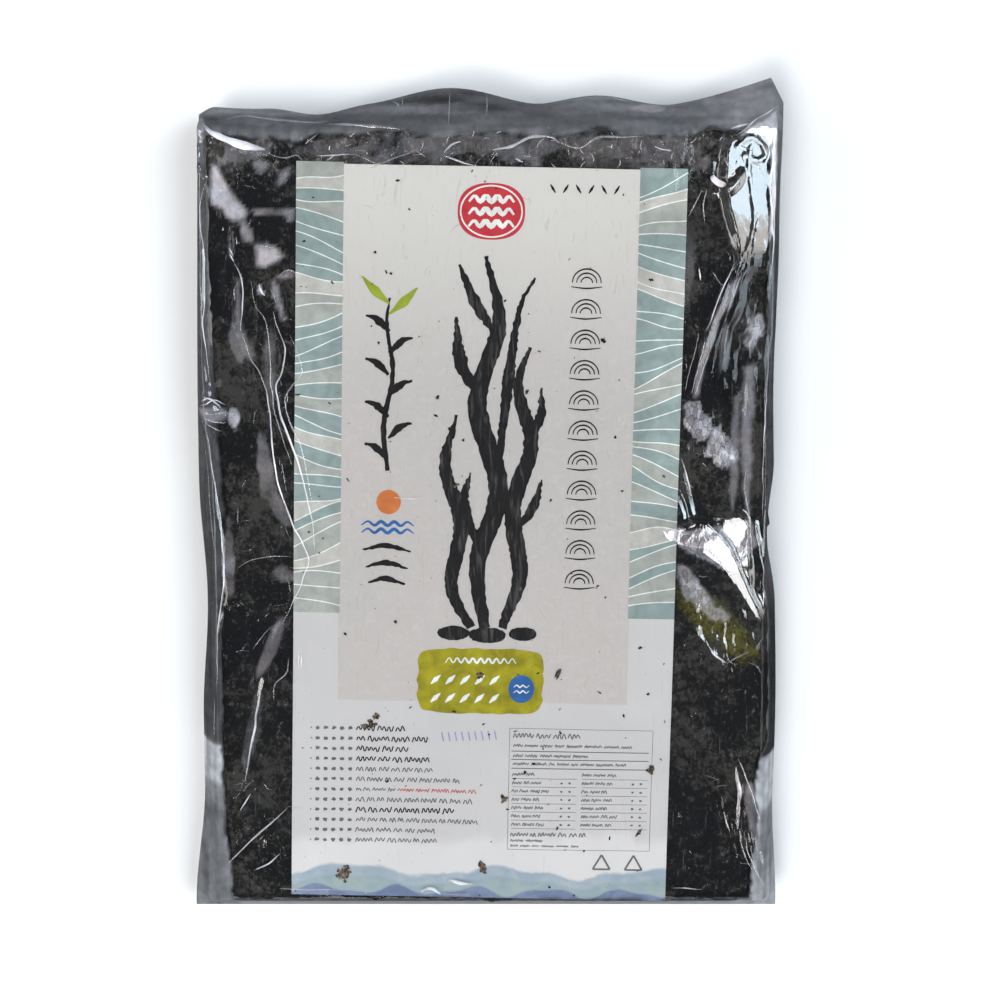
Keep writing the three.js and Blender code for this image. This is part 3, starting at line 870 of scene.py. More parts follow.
def foldHeights(x, y):
    total = np.zeros(len(x))
    for number, fold in enumerate(folds):
        line = smoothLine(fold["points"], 140)
        near = byBox(line, max(fold["left"], fold["right"]) + 2, x, y)
        px = x[near] + 0.3 * drift(x[near], y[near], 7, 10, 40 + number)
        py = y[near] + 0.3 * drift(x[near], y[near], 7, 10, 80 + number)
        nearest, side, straight = nearestOn(line, px, py)
        atEnd = (nearest == 0) | (nearest == len(line) - 1)
        away = np.where(atEnd, straight, np.abs(side))
        share = nearest / (len(line) - 1)
        narrow = mix(1, film["foldTaper"], share)
        width = np.where(side > 0, fold["left"], fold["right"]) * narrow
        away = np.sqrt(away**2 + 0.16) - 0.4
        runOut = np.sin(np.pi * mix(0.06, 0.94, share)) ** 0.45
        fall = np.clip(1 - away / width, 0, 1) ** fold["hollow"]
        total[near] = np.maximum(total[near], fold["height"] * runOut * fall)
    return total


def tiltHeights(x, y):
    total = np.zeros(len(x))
    for tilt in tilts:
        edge = smoothLine(tilt["edge"], 200)
        foot = smoothLine(tilt["foot"], 200)
        near = byBox(np.vstack([edge, foot]), tilt["drop"], x, y)
        px, py = [at[near] + 0.7 * drift(x[near], y[near], 5, 7, seed)
                  + 0.25 * drift(x[near], y[near], 1.6, 2.2, seed + 1) for at, seed in ((x, 25), (y, 27))]
        nearest, side, straight = nearestOn(edge, px, py)
        _, footSide, _ = nearestOn(foot, px, py)
        _, crestSide, _ = nearestOn(foot, edge[:, 0], edge[:, 1])
        insideSign = np.sign(nearestOn(edge, foot[100:101, 0], foot[100:101, 1])[1][0])
        footSign = np.sign(crestSide[100])
        crest = np.maximum(crestSide * footSign, 0) * tilt["slope"]
        plane = np.maximum(footSide * footSign, 0) * tilt["slope"]
        plane = np.minimum(plane, crest[nearest] + 0.1)
        behind = crest[nearest] * np.clip(1 - straight / tilt["drop"], 0, 1) ** 1.3
        share = nearest / (len(edge) - 1)
        starts, ends = tilt["fade"]
        fade = smooth(share, 0, starts + 1e-6) * smooth(1 - share, 0, ends + 1e-6)
        rise = np.where(side * insideSign > 0, plane, behind) * fade
        total[near] = np.maximum(total[near], rise)
    return total


def crumpleHeights(x, y):
    total = np.zeros(len(x))
    wanderX = x + 1.2 * drift(x, y, 9, 14, 21)
    wanderY = y + 1.2 * drift(x, y, 9, 14, 22)
    for patch in crumples:
        (atX, atY), (reachX, reachY), seed = patch["at"], patch["reach"], patch["seed"]
        far = np.hypot((x - atX) / reachX, (y - atY) / reachY)
        mask = 1 - smooth(far + 0.15 * drift(x, y, 5, 6, seed + 60), 0.6, 1)
        total += mask * shards(wanderX, wanderY, patch["cell"], patch["lean"], patch["spread"], seed)
    return total


def filmHeight(x, y):
    over = overStack(x, y)
    clear = 1 - smooth(beyondPaper(x, y), -film["paperSkirt"], film["paperSkirt"])
    top = pack["stackHeight"] + film["clearance"] + film["paperStep"] * clear + swellAt(x, y)
    broad = tiltHeights(x, y)
    calm = mix(1, 0.25, smooth(broad, 0.2, 1.2))
    wanderX = x + 3 * drift(x, y, 16, 30, 31)
    creases = facets(wanderX, y, 11, 34, 32) * mix(0.16, 0.04, clear)
    creases = creases + facets(x, y, 5, 13, 33) * mix(0.05, 0.0, clear)
    along = 0.2 * drift(x, y, 2.2, 60, 34) * hump(over - 0.55, 0.6)  # pleats down the sides
    along = along * smooth(y, -128, -112)
    flap = smooth(y, stackMouth, pack["mouthLine"])
    ripple = flap * (0.5 * drift(x, y, 27, 11, 35) + 0.2 * drift(x, y, 8, 7, 36))
    folded = (broad + foldHeights(x, y)) * np.maximum(over, 0.35)
    rough = (creases + crumpleHeights(x, y)) * calm * np.maximum(over, 0.3)
    return mix(seamHeight(x, y), top, over) + folded + rough + along * calm + ripple * (1 - over)


def insideBy(corners, x, y):  # distance to an outline, positive inside it
    start = np.array(corners, float)
    run = np.roll(start, -1, axis=0) - start
    away = np.full(len(x), 99.0)
    inside = np.zeros(len(x), bool)
    for (px, py), (ex, ey) in zip(start, run):
        share = np.clip(((x - px) * ex + (y - py) * ey) / (ex * ex + ey * ey), 0, 1)
        away = np.minimum(away, np.hypot(x - px - share * ex, y - py - share * ey))
        crosses = (py > y) != (py + ey > y)
        inside ^= crosses & (x < px + (y - py) * ex / (ey or 1e-9))
    return np.where(inside, away, -away)


def hazeAndGlareAt(x, y):  # how much haze and painted glare the film carries, 0 to 1
    total = np.full(len(x), film["clearMilk"])
    for number, veil in enumerate(glareVeils):
        near = byBox(veil["corners"], 3, x, y)
        px, py = x[near], y[near]
        torn = veil["torn"]
        seed = 400 + 7 * number
        warpX, warpY = [torn * (0.6 * drift(px, py, 3.2, 3.8, seed + k)
                                + 0.4 * drift(px, py, 0.9, 1.1, seed + k + 1)) for k in (0, 2)]
        depth = insideBy(veil["corners"], px + warpX, py + warpY)
        # each patch is split into small planes of lighter and darker painted reflection, darker along the
        # creases between them
        rim, _, _, at = cells(px + warpX, py + warpY, 2.6, 3.4, seed + 4)
        plane = lattice(seed + 5, 1)[0][at]
        uneven = 0.5 * (plane - 0.5) + 0.2 * drift(px, py, 1.4, 1.8, 302)
        uneven = uneven - 0.2 * (1 - smooth(rim, 0, 0.16))
        shaded = 0.92 + (0.35 if torn < 1.5 else 1.0) * uneven
        total[near] = np.maximum(total[near], smooth(depth, -0.3, veil["soft"]) * veil["strength"] * shaded)
    for number, haze in enumerate(glareHazes):
        c = math.cos(haze["lean"])
        s = math.sin(haze["lean"])
        dx = x - haze["at"][0]
        dy = y - haze["at"][1]
        far = np.hypot((dx * c - dy * s) / haze["reach"][0], (dx * s + dy * c) / haze["reach"][1])
        near = far < 2.2
        px, py, far = x[near], y[near], far[near]
        ragged = 0.34 * drift(px, py, 3.0, 3.6, 300 + number) + 0.16 * drift(px, py, 0.9, 1.1, 301)
        far = far + haze["torn"] * ragged
        shaded = 0.85 + 0.45 * drift(px, py, 3.6, 5, 302)
        total[near] = np.maximum(total[near], (1 - smooth(far, 0.66, 0.98)) * haze["strength"] * shaded)
    return total


def toneAt(x, y):  # how light the grey of the margins is
    head = smooth(y, 128, 133)
    outward = smooth(y - stackMouth, 4.5, 8.5 + 2.2 * drift(x, y * 0, 34, 1, 93))
    inner = mix(0.078, 0.135, smooth(x, 25, 75)) * (1 + 0.35 * drift(x, y, 22, 7, 94))
    outer = 0.165 + 0.05 * drift(x, y, 16, 3, 95) + 0.1 * smooth(-x, 52, 76) - 0.02 * smooth(x, 84, 92)
    outer = outer - 0.11 * np.exp(-(((x + 10) / 30) ** 2))  # the raised middle of the flap is darker
    rim = 1 - smooth(flapRim(x) - y, 0.3, 1.3)
    # painted sheen: over the flap the grey is lighter outward and along its rim
    flap = mix(inner, outer, outward) * (1 + 0.3 * drift(x, y, 9, 1.6, 96)) + 0.05 * rim
    left = np.interp(y, *np.array(film["toneLeft"]).T)
    right = np.interp(y, *np.array(film["toneRight"]).T)
    sides = np.where(x < 0, left, right)
    sides = sides * (1 + 0.32 * drift(x, y, 1.4, 22, 97) + 0.24 * drift(x, y, 2.4, 3.2, 98))
    foot = mix(0.022, 0.2, smooth(-y - 141.5, 0.5, 1.2))
    tone = mix(mix(sides, flap, head), foot, smooth(-y, 140.6, 141.4) * (1 - smooth(np.abs(x), 88, 92)))
    return np.clip(tone, 0.012, 0.5)


# Places where the film lies slack and has lost some gloss: over which x and y it sets in and ends, how
# ragged these two edges along y are, and how much gloss goes.
slackAreas = [
    {"x": (None, (-87, -84)), "y": (None, (-48, -36)), "ragged": (0, -1), "loss": 0.86},
    {"x": ((95, 97), None), "y": (None, (-40, -30)), "ragged": (0, -1), "loss": 0.86},
    {"x": (None, None), "y": (None, (-121, -116)), "ragged": (0, -0.4), "loss": 0.86},
    {"x": (None, (-60, -56)), "y": (None, (-121, -116)), "ragged": (0, -0.5), "loss": 0.985},
    {"x": ((56, 60), None), "y": ((-1, 4), (84, 92)), "ragged": (0.4, 0.5), "loss": 0.8},
    {"x": ((54, 59), (77, 80)), "y": ((100, 105), None), "ragged": (0, 0), "loss": 0.88},
    {"x": (None, (-58, -52)), "y": ((-44, -30), (78, 92)), "ragged": (1, 0), "loss": 0.5},
    {"x": ((76, 82), None), "y": (None, (-94, -84)), "ragged": (0, -1), "loss": 0.6},
    {"x": ((-96, -92), (-73, -70)), "y": ((109, 112), (127, 130)), "ragged": (0, 0), "loss": 0.9},
]


def shineAt(x, y):  # how much of its gloss the film keeps
    wander = 6 * drift(x, y, 5, 12, 99)
    slack = 0 * x
    for area in slackAreas:
        low, high = [y + share * wander for share in area["ragged"]]
        left, right = area["x"]
        start, end = area["y"]
        loss = area["loss"]
        for value, rise, fall in ((x, left, None), (x, None, right), (low, start, None), (high, None, end)):
            if rise:
                loss = loss * smooth(value, *rise)
            if fall:
                loss = loss * (1 - smooth(value, *fall))
        slack = np.maximum(slack, loss)
    return 1 - slack


def sideEdges(y):  # where the top sheets end on the left and right
    return [np.interp(y, *np.array(sheets[key]).T) for key in ("leftEdge", "rightEdge")]


def smokeAt(x, y):  # 1 in the margins beside the sheets, where the dark table shows through
    left, right = sideEdges(y)
    mouth = y - stackMouth + 1.0 + 1.6 * drift(x, y * 0, 13, 1, 89) + 3.2 * hump(x + 65, 9)
    over = np.max([left - x, x - right, mouth, stackSealed - y], axis=0)
    over = over + 0.9 * drift(x, y, 6, 6, 91) + 0.5 * drift(x, y, 1.6, 1.6, 92)
    return smooth(over, -0.6, 0.9)


def markFilm(piece, hazeAndGlare, smoke, tone, shine):  # fields that the film's material reads
    for name, values in (("hazeAndGlare", hazeAndGlare), ("smoke", smoke), ("tone", tone), ("shine", shine)):
        field = piece.data.attributes.new(name, "FLOAT", "POINT")
        field.data.foreach_set("value", np.asarray(values, np.float32))


def filmColumns(y):  # x of the lines that the film's columns follow
    left = np.interp(y, *np.array(ridgeLeft).T)
    right = np.interp(y, *np.array(ridgeRight).T)
    lines = [leftRim(y), stackLeft, left, -57.0, 60.0, right, stackRight, rightRim(y)]
    return np.array([np.broadcast_to(line, y.shape) for line in lines])


def filmRows(x):
    lines = [pack["sealedEnd"], *film["rowLines"], flapRim(x)]
    return np.array([np.broadcast_to(line, x.shape) for line in lines])


def between(lines, counts, share):  # from the first line to the last, in so many steps between each two
    ends = np.concatenate([[0], np.cumsum(counts)]) / sum(counts)
    part = np.clip(np.searchsorted(ends, share + 1e-6, side="right") - 1, 0, len(counts) - 1)
    inside = (share - ends[part]) / (ends[part + 1] - ends[part])
    pick = np.arange(len(share))
    return mix(lines[part, pick], lines[part + 1, pick], inside)


def filmPlan(across, along):
    x = mix(leftRim(0.0), rightRim(0.0), across)
    y = between(filmRows(x), film["rowCounts"], along)
    for _ in range(4):
        x = between(filmColumns(y), film["columnCounts"], across)
        y = between(filmRows(x), film["rowCounts"], along)
    return x, y


def filmMaterial():
    shade = Shade.forMaterial("clearFilm")
    hazeAndGlare, smoke, tone, shine = [shade.attribute(name) for name in ("hazeAndGlare", "smoke", "tone", "shine")]
    spots = shade.place()
    x, y, _ = shade.parts(spots)
    cloud = shade.noise(spots, 0.35, 3.0, 0.6).above(0.3, 0.68)
    scuffs = shade.noise(shade.place(turn=0.9, stretch=(1, 0.05, 1)), 1.7, 1.0, 0.4).above(0.69, 0.78) * 0.05
    # the painted reflections at the right are broken into small planes, each lighter or darker and with
    # darker cracks: painted shade
    flat = {"voronoi_dimensions": "2D"}
    inputs = {"Vector": shade.place(turn=0.7, stretch=(1, 0.62, 1)), "Scale": 0.52}
    border = shade.node("TexVoronoi", {**flat, "feature": "DISTANCE_TO_EDGE"}, inputs)
    shard = shade.parts(shade.node("TexVoronoi", flat, inputs, 1))[0]
    crumpled = x.above(62, 66) * (1 - y.above(50, 60)) * hazeAndGlare.above(0.22, 0.4) * (1 - hazeAndGlare.above(0.84, 0.9))
    broken = 1 - crumpled * (0.55 - shard * 0.55 + (1 - border.above(0.02, 0.09)) * 0.35)
    # painted glare and haze over the film; the brightest creases get an extra painted highlight
    white = hazeAndGlare * (cloud * 0.3 + 0.72) * broken + hazeAndGlare.above(0.6, 0.8) * 0.25 + scuffs
    relief = shade.bump(shade.noise(shade.place(stretch=(1, 0.4, 1)), 0.7, 2.0, 0.5), 0.22, 0.0004)
    facing = shade.node("LayerWeight", None, {"Blend": 0.5}, 1)
    mirror = (facing ** 5 * film["grazing"] + film["mirror"]) * shine
    clear = shade.node("BsdfTransparent", None, {"Color": (1, 1, 1, 1)})
    grey = shade.over(tone * (1.12 + 0.3 * cloud), shade.plain((0, 0, 0)), shade.plain(film["smoke"]))
    warm = shade.noise(spots, 0.09, 2.0).above(0.42, 0.62)
    # the lilac and blush colours of the painted glare and haze
    pale = shade.over(warm, *[shade.plain(colour) for colour in film["hazeAndGlare"]])
    mirrored = {"Color": (1, 1, 1, 1), "Roughness": film["roughness"], "Normal": relief}
    gloss = shade.node("BsdfGlossy", None, mirrored)
    body = shade.over(smoke * film["smokeCover"], clear, grey)
    withGlare = shade.over(white, body, pale)
    return shade.close(shade.over(mirror, withGlare, gloss))


def sharesOf(x, y):
    across = (x - leftRim(y)) / (rightRim(y) - leftRim(y))
    along = (y - pack["sealedEnd"]) / (flapRim(x) - pack["sealedEnd"])
    return np.clip(across, 0, 1), np.clip(along, 0, 1)


def creasePlan(width, points, across, along, seed):
    # where a crease's corners lie, how high its bead stands there and how its painted highlight fades
    line = smoothLine(points, 200)
    x, y, tx, ty = followed(line, along)
    run = along * np.hypot(*np.diff(line, axis=0).T).sum()
    wander = 0.25 * drift(run, along * 0, 4.5, 9, 500 + seed % 40)
    wide = width * np.sin(np.pi * mix(0.02, 0.98, along)) ** 0.4
    wide = wide * (1 + 0.35 * drift(run, along * 0 + 5, 3.2, 9, 540 + seed % 40))
    offset = (across - 0.5) * wide + wander
    bead = (1 - (across * 2 - 1) ** 2) * np.minimum(0.35 * wide, film["beadHeight"])
    fade = np.sin(np.pi * mix(0.04, 0.96, along)) ** 0.5
    fade = fade * (0.78 + 0.34 * drift(run, along * 0 + seed, 7, 9, 640))
    return x + ty * offset, y - tx * offset, bead, fade


# Short hairline creases strewn over the laver, each a painted glint, in the box between two corners: how
# many, the longest and how strong the strongest glint is.
hairlines = [
    {"from": (-62, 117.8), "to": (96, 129.5), "count": 70, "long": 4.5, "strong": 0.55},
    {"from": (-92, -136), "to": (-67, 118), "count": 50, "long": 7.0, "strong": 0.26},
    {"from": (68, -136), "to": (98, 118), "count": 50, "long": 6.0, "strong": 0.26},
]


def strewnCreases():
    rng = np.random.default_rng(82)
    strewn = []
    for area in hairlines:
        for _ in range(area["count"]):
            x, y = rng.uniform(area["from"], area["to"])
            long = 0.8 + area["long"] * rng.random() ** 2
            lean = rng.normal() * 0.7 + (1.4 if rng.random() < 0.6 else 0.2)
            bend = rng.uniform(-0.16, 0.16) * long
            dx = 0.5 * long * math.cos(lean)
            dy = 0.5 * long * math.sin(lean)
            width = rng.uniform(0.2, 0.42)
            middle = (x - bend * math.sin(lean), y + bend * math.cos(lean))
            points = [(x - dx, y - dy), middle, (x + dx, y + dy)]
            strewn.append((area["strong"] * rng.uniform(0.25, 1), width, points))
    return strewn


def makeCreases(material):
    lines = [(strong, *line) for kind, strong in film["creaseHighlight"].items() for line in creases[kind]]
    strips = {}
    pieces = []
    plans = []
    for number, (strong, width, points) in enumerate([*lines, *strewnCreases()]):
        long = sum(math.dist(a, b) for a, b in zip(points[:-1], points[1:]))
        steps = 10 if number >= len(lines) else 10 * math.ceil(long / 5.5)
        known = steps in strips
        if not known:
            strips[steps] = addGrid("crease", 4, steps)
        piece, across, along = strips[steps]
        pieces.append(copyOf(piece) if known else piece)
        x, y, bead, fade = creasePlan(width, points, across, along, number)
        broad = 1.0 if width > film["wideCrease"] else 0.0
        # painted highlight: how white each crease is painted, whiter on the broad ones
        hazeAndGlare = np.clip((strong + 0.4 * broad) * fade, 0, 0.97)
        plans.append((x, y, bead, hazeAndGlare, 1 - 0.7 * broad + 0 * x))
    x, y, bead, hazeAndGlare, shine = [np.concatenate(part) for part in zip(*plans)]
    z = filmHeight(x, y) + film["rimThickness"] / 2 + 0.02 + bead
    ends = np.cumsum([len(plan[0]) for plan in plans])
    for piece, end in zip(pieces, ends):
        own = slice(end - len(piece.data.vertices), end)
        placeVertices(piece, x[own], y[own], z[own])
        markFilm(piece, hazeAndGlare[own], 0 * z[own], 0 * z[own], shine[own])
    whole = joined("filmCreases", pieces)
    finishPiece(whole, material)
    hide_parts("pack")
    print("creases:", len(pieces))


def makeFilm(material):
    piece, across, along = addGrid("clearFilm", sum(film["columnCounts"]), sum(film["rowCounts"]))
    x, y = filmPlan(across, along)
    placeVertices(piece, x, y, filmHeight(x, y) + film["rimThickness"] / 2)
    inset = film["underInset"]
    base = film["baseInset"]

    def rimUnder(x, y, z):
        return x, y, z + ringDrop - film["rimThickness"]

    def inside(x, y, z):
        across, along = sharesOf(x, y)
        inX = mix(leftRim(y) + inset, rightRim(y) - inset, across)
        inY = mix(pack["sealedEnd"] + inset, pack["mouthLine"], along)
        return inX, inY, seamHeight(inX, inY) - 1.5 * film["rimThickness"]

    def resting(x, y, z):  # under the stack
        across, along = sharesOf(x, y)
        baseX = mix(stackLeft + base, stackRight - base, across)
        baseY = mix(stackSealed + base, stackMouth - base, along)
        return baseX, baseY, 0 * z

    def halfWay(x, y, z):
        baseX, baseY, _ = resting(x, y, z)
        return (x + baseX) / 2, (y + baseY) / 2, 0.42 * z + 0.5 * drift(x, y, 9, 9, 37)

    for move in (rimUnder, inside, halfWay, resting):
        ringBelow(piece, move)
    closeBelow(piece)
    x, y, z = asArray(piece.data).T / mm
    hazeAndGlare = np.where(z > 4, hazeAndGlareAt(x, y), film["clearMilk"])
    markFilm(piece, hazeAndGlare, smokeAt(x, y), toneAt(x, y), shineAt(x, y))
    finishPiece(piece, material)
    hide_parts("pack")
    print("film:", len(piece.data.polygons), "faces")


# ---- dried laver
sheets = {
    "layers": 44,
    "corners": 560,
    "bottom": 0.5,
    "shift": 0.9,
    "fullness": 0.84,
    "ragged": [(26, 1.0), (7, 1.0), (2.2, 0.8)],  # cell, reach
    "topColumns": 200,
    "topRows": 286,
    "topDepth": 0.35,
    # where the painted light through thin laver lies: middle and reach
    "olivePlace": ((82, -41), (16, 9)),
    "leftEdge": [  # y, x
        (-140, -90.6), (-120, -92), (-95, -93.6), (-45, -93.4), (-20, -91.8), (0, -91.8), (20, -92.8),
        (50, -94.6), (80, -95.6), (130, -95.6),
    ],
    "rightEdge": [
        (-140, 95), (-120, 96), (-108, 97), (-90, 97), (-84, 101), (-38, 101), (-28, 98), (130, 98),
    ],
}


def ragged(along, side, seed):  # how far a sheet's edge wanders from its line
    return sum(reach * drift(along, along * 0 + side * 97.0, cell, 31, seed)
               for cell, reach in sheets["ragged"])


def laverMaterial():
    shade = Shade.forMaterial("driedLaver")
    spots = shade.place()
    x, y, _ = shade.parts(spots)
    # towards the head end the laver has more light flecks: partly its browner grain, partly painted glints
    head = y.above(100, 126)
    broad = shade.noise(spots, 0.035, 3.0, 0.6)
    mottle = shade.noise(spots, 0.26, 4.0, 0.76)
    grain = shade.noise(shade.place(turn=0.5, stretch=(1, 0.7, 1)), 0.8, 2.6, 0.8, 0.5)
    body = shade.blend(broad.above(0.35, 0.65), (0.002, 0.0024, 0.0036), (0.005, 0.0049, 0.003))
    tuft = (mottle * 0.62 + grain * 0.38 + head * 0.07 + (broad - 0.5) * 0.6).above(0.47, 0.6)
    olive = shade.blend(tuft, body, (0.036, 0.0345, 0.032))
    fleck = (grain + head * 0.09).above(0.58, 0.74) * 0.55
    brown = shade.blend(fleck, olive, (0.085, 0.08, 0.07))
    crumb = (grain + mottle + head * 0.12).above(1.22, 1.34) * 0.5
    colour = shade.blend(crumb, brown, (0.24, 0.22, 0.18))
    # painted light: an olive patch where light comes through the thin laver
    (centreX, centreY), (reachX, reachY) = sheets["olivePlace"]
    away = ((x - centreX) / reachX) ** 2 + ((y - centreY + (x - centreX) * 0.75) / reachY) ** 2
    lit = 1 - (away + mottle * 2.4 - 1.2).above(0.3, 1.1)
    thinLit = shade.blend(grain.above(0.35, 0.62), (0.026, 0.024, 0.004), (0.115, 0.104, 0.014))
    colour = shade.blend(lit * 0.85, colour, thinLit)
    relief = shade.bump(mottle * 0.9 + grain * 0.7, 1.0, 0.0011)
    return shade.closeMatte(colour, grain.above(0.2, 0.8) * 0.3 + 0.42, 0.1, Normal=relief)


def outlineOf(angle, seed, shrink):  # a sheet's ragged outline, corner by corner
    half = np.array([pack["sheetWidth"] / 2 - shrink, pack["sheetLength"] / 2 - shrink])
    turn = (angle / (2 * np.pi)) % 1 * 4
    side = np.floor(turn).astype(int) % 4
    part = (turn % 1) * 2 - 1
    startX = np.choose(side, [half[0] + 0 * part, -part * half[0], -half[0] + 0 * part, part * half[0]])
    startY = np.choose(side, [part * half[1], half[1] + 0 * part, -part * half[1], -half[1] + 0 * part])
    for number, (outX, outY) in enumerate([(1, 0), (0, 1), (-1, 0), (0, -1)]):
        chosen = side == number
        along = np.where(outX != 0, startY, startX)
        moved = ragged(along, number, seed)
        startX = startX + np.where(chosen, outX * moved, 0)
        startY = startY + np.where(chosen, outY * moved, 0)
    pull = 1 - 0.012 * smooth(np.abs(part), 0.985, 1.0)  # the corners are a little blunt
    return startX * pull, startY * pull


def makeStack(material):
    pitch = (pack["stackHeight"] - sheets["bottom"] - sheets["topDepth"]) / sheets["layers"]
    rng = np.random.default_rng(5)
    layers = []
    first, angle, top = addSlab("sheetLayer", sheets["corners"])
    for layer in range(sheets["layers"]):
        piece = copyOf(first) if layer else first
        x, y = outlineOf(angle, 200 + layer, 0.6 + 0.5 * rng.random())
        x = x + pack["stackX"] + rng.uniform(-1, 1) * sheets["shift"]
        y = y + pack["stackY"] + rng.uniform(-1, 1) * sheets["shift"] * 0.6
        low = sheets["bottom"] + pitch * layer
        z = low + top * pitch * sheets["fullness"] + 0.12 * drift(x, y, 9, 9, 300 + layer)
        rise = swellAt(x, y) * (low / pack["stackHeight"]) ** 2
        placeVertices(piece, x, y, z + rise)
        layers.append(piece)
    stack = joined("sheetStack", layers)
    finishPiece(stack, material, 40)
    print("stack:", len(stack.data.polygons), "faces")


def laverTop(x, y):
    bumps = 0.24 * drift(x, y, 2.6, 2.8, 51) + 0.16 * drift(x, y, 1.3, 1.4, 52)
    curls = 0.42 * facets(x + 2 * drift(x, y, 5, 5, 53), y, 4.0, 4.6, 54)
    calm = smooth(beyondPaper(x, y), -1, 4)
    return pack["stackHeight"] - 0.2 + swellAt(x, y) + (bumps + curls - 0.1) * mix(0.1, 1, calm)


def makeTopSheet(material):
    piece, across, along = addGrid("topSheet", sheets["topColumns"], sheets["topRows"])
    y0 = mix(stackSealed, stackMouth, along)
    x0 = mix(stackLeft, stackRight, across)
    edgeLeft, edgeRight = sideEdges(y0)
    left = edgeLeft + 0.4 + 0.6 * ragged(y0, 2, 900)
    right = edgeRight - 0.4 + 0.6 * ragged(y0, 0, 901)
    sealed = stackSealed + 1.2 + ragged(x0, 3, 902)
    mouth = stackMouth - 1.2 + ragged(x0, 1, 903)
    x = mix(left, right, across)
    y = mix(sealed, mouth, along)
    z = np.minimum(laverTop(x, y), filmHeight(x, y) - 1.1)
    placeVertices(piece, x, y, z)

    def under(x, y, z):
        return x, y, z + ringDrop - sheets["topDepth"]

    ringBelow(piece, under)
    closeBelow(piece)
    finishPiece(piece, material)
    print("top sheet:", len(piece.data.polygons), "faces")


# ---- paper insert and its print
inks = {
    "black": (0.009, 0.0085, 0.0085),
    "grey": (0.13, 0.13, 0.13),
    "teal": (0.243, 0.307, 0.296),
    "sage": (0.34, 0.355, 0.325),
    "sand": (0.47, 0.455, 0.42),
    "white": (0.74, 0.76, 0.73),
    "red": (0.50, 0.036, 0.048),
    "olive": (0.30, 0.265, 0.012),
    "blue": (0.03, 0.12, 0.33),
    "green": (0.27, 0.33, 0.03),
    "orange": (0.55, 0.17, 0.05),
    "violet": (0.30, 0.28, 0.52),
    "rose": (0.50, 0.10, 0.09),
}
printLift = {"field": 0.03, "line": 0.06, "over": 0.09}
bands = {
    "inner": 50.9,
    "top": 130.0,
    "bottom": -26.6,
    "layers": 35,
    "steps": 26,
    "line": 0.36,
    "thinnest": 0.4,
    "shares": {"teal": 0.48, "sage": 0.34, "sand": 0.18},
}


def inkMaterial(name, colour, mottle=0.16, streaky=0.0):
    shade = Shade.forMaterial(name)
    cloud = shade.noise(shade.place(), 0.16, 4.0, 0.6, 0.5)
    speck = shade.noise(shade.place(), 2.4, 2.0)
    dark = tuple(value * (1 - mottle) for value in colour)
    light = tuple(min(1, value * (1 + mottle)) for value in colour)
    tone = shade.blend(cloud.above(0.25, 0.75), dark, light)
    if streaky:  # a dry brush leaves paler streaks
        dry = shade.noise(shade.place(turn=0.15, stretch=(1, 0.14, 1)), 0.55, 3.0, 0.6, 0.8)
        tone = shade.blend(dry.above(0.5, 0.72) * streaky, tone, (0.07, 0.068, 0.066))
    relief = shade.bump(speck, 0.15, 0.0001)
    return shade.closeMatte(tone, speck.above(0, 1) * 0.1 + 0.5, 0.12, Normal=relief)


def paperMaterial():
    shade = Shade.forMaterial("insertPaper")
    u, v, _ = shade.parts(shade.node("TexCoord", output=2))
    across = (u - 0.5) * insert["width"]
    along = (v - 0.5) * insert["length"]
    spots = shade.node("CombineXYZ", None, {0: across, 1: along, 2: 0.0})
    cloud = shade.noise(spots, 0.022, 3.0, 0.6, 0.3)
    blush = shade.noise(spots, 0.012, 2.0, 0.5, 0.0)
    speck = shade.noise(spots, 1.1, 3.0, 0.6)
    white = shade.blend(cloud.above(0.3, 0.7), (0.528, 0.512, 0.504), (0.566, 0.548, 0.538))
    slanting = {"Vector": spots, "Rotation": (0, 0, 0.5), "Scale": (1, 0.13, 1)}
    fibreSpots = shade.node("Mapping", None, slanting)
    fibre = shade.noise(fibreSpots, 0.5, 2.0, 0.5, 2.2).above(0.64, 0.7)
    tuft = shade.noise(spots, 0.3, 4.0, 0.7, 1.2)
    mulberry = shade.blend(blush.above(0.42, 0.62), (0.486, 0.457, 0.434), (0.5, 0.459, 0.44))
    mulberry = shade.blend(along.above(40, 135) * 0.85, mulberry, (0.66, 0.64, 0.60))
    mulberry = shade.blend(tuft.above(0.45, 0.7) * 0.3, mulberry, (0.60, 0.59, 0.56))
    mulberry = shade.blend(fibre * 0.4, mulberry, (0.42, 0.385, 0.33))
    mulberry = shade.blend(speck.above(0.66, 0.72) * 0.3, mulberry, (0.38, 0.35, 0.30))
    panel = (1 - across.size().above(51.2, 51.5)) * along.above(-57.9, -57.5)
    paper = seaStrip(shade, spots, across, along, shade.blend(panel, white, mulberry))
    relief = shade.bump(speck, 0.12, 0.0002)
    return shade.closeMatte(paper, speck.above(0, 1) * 0.12 + 0.38, 0.2, Normal=relief)


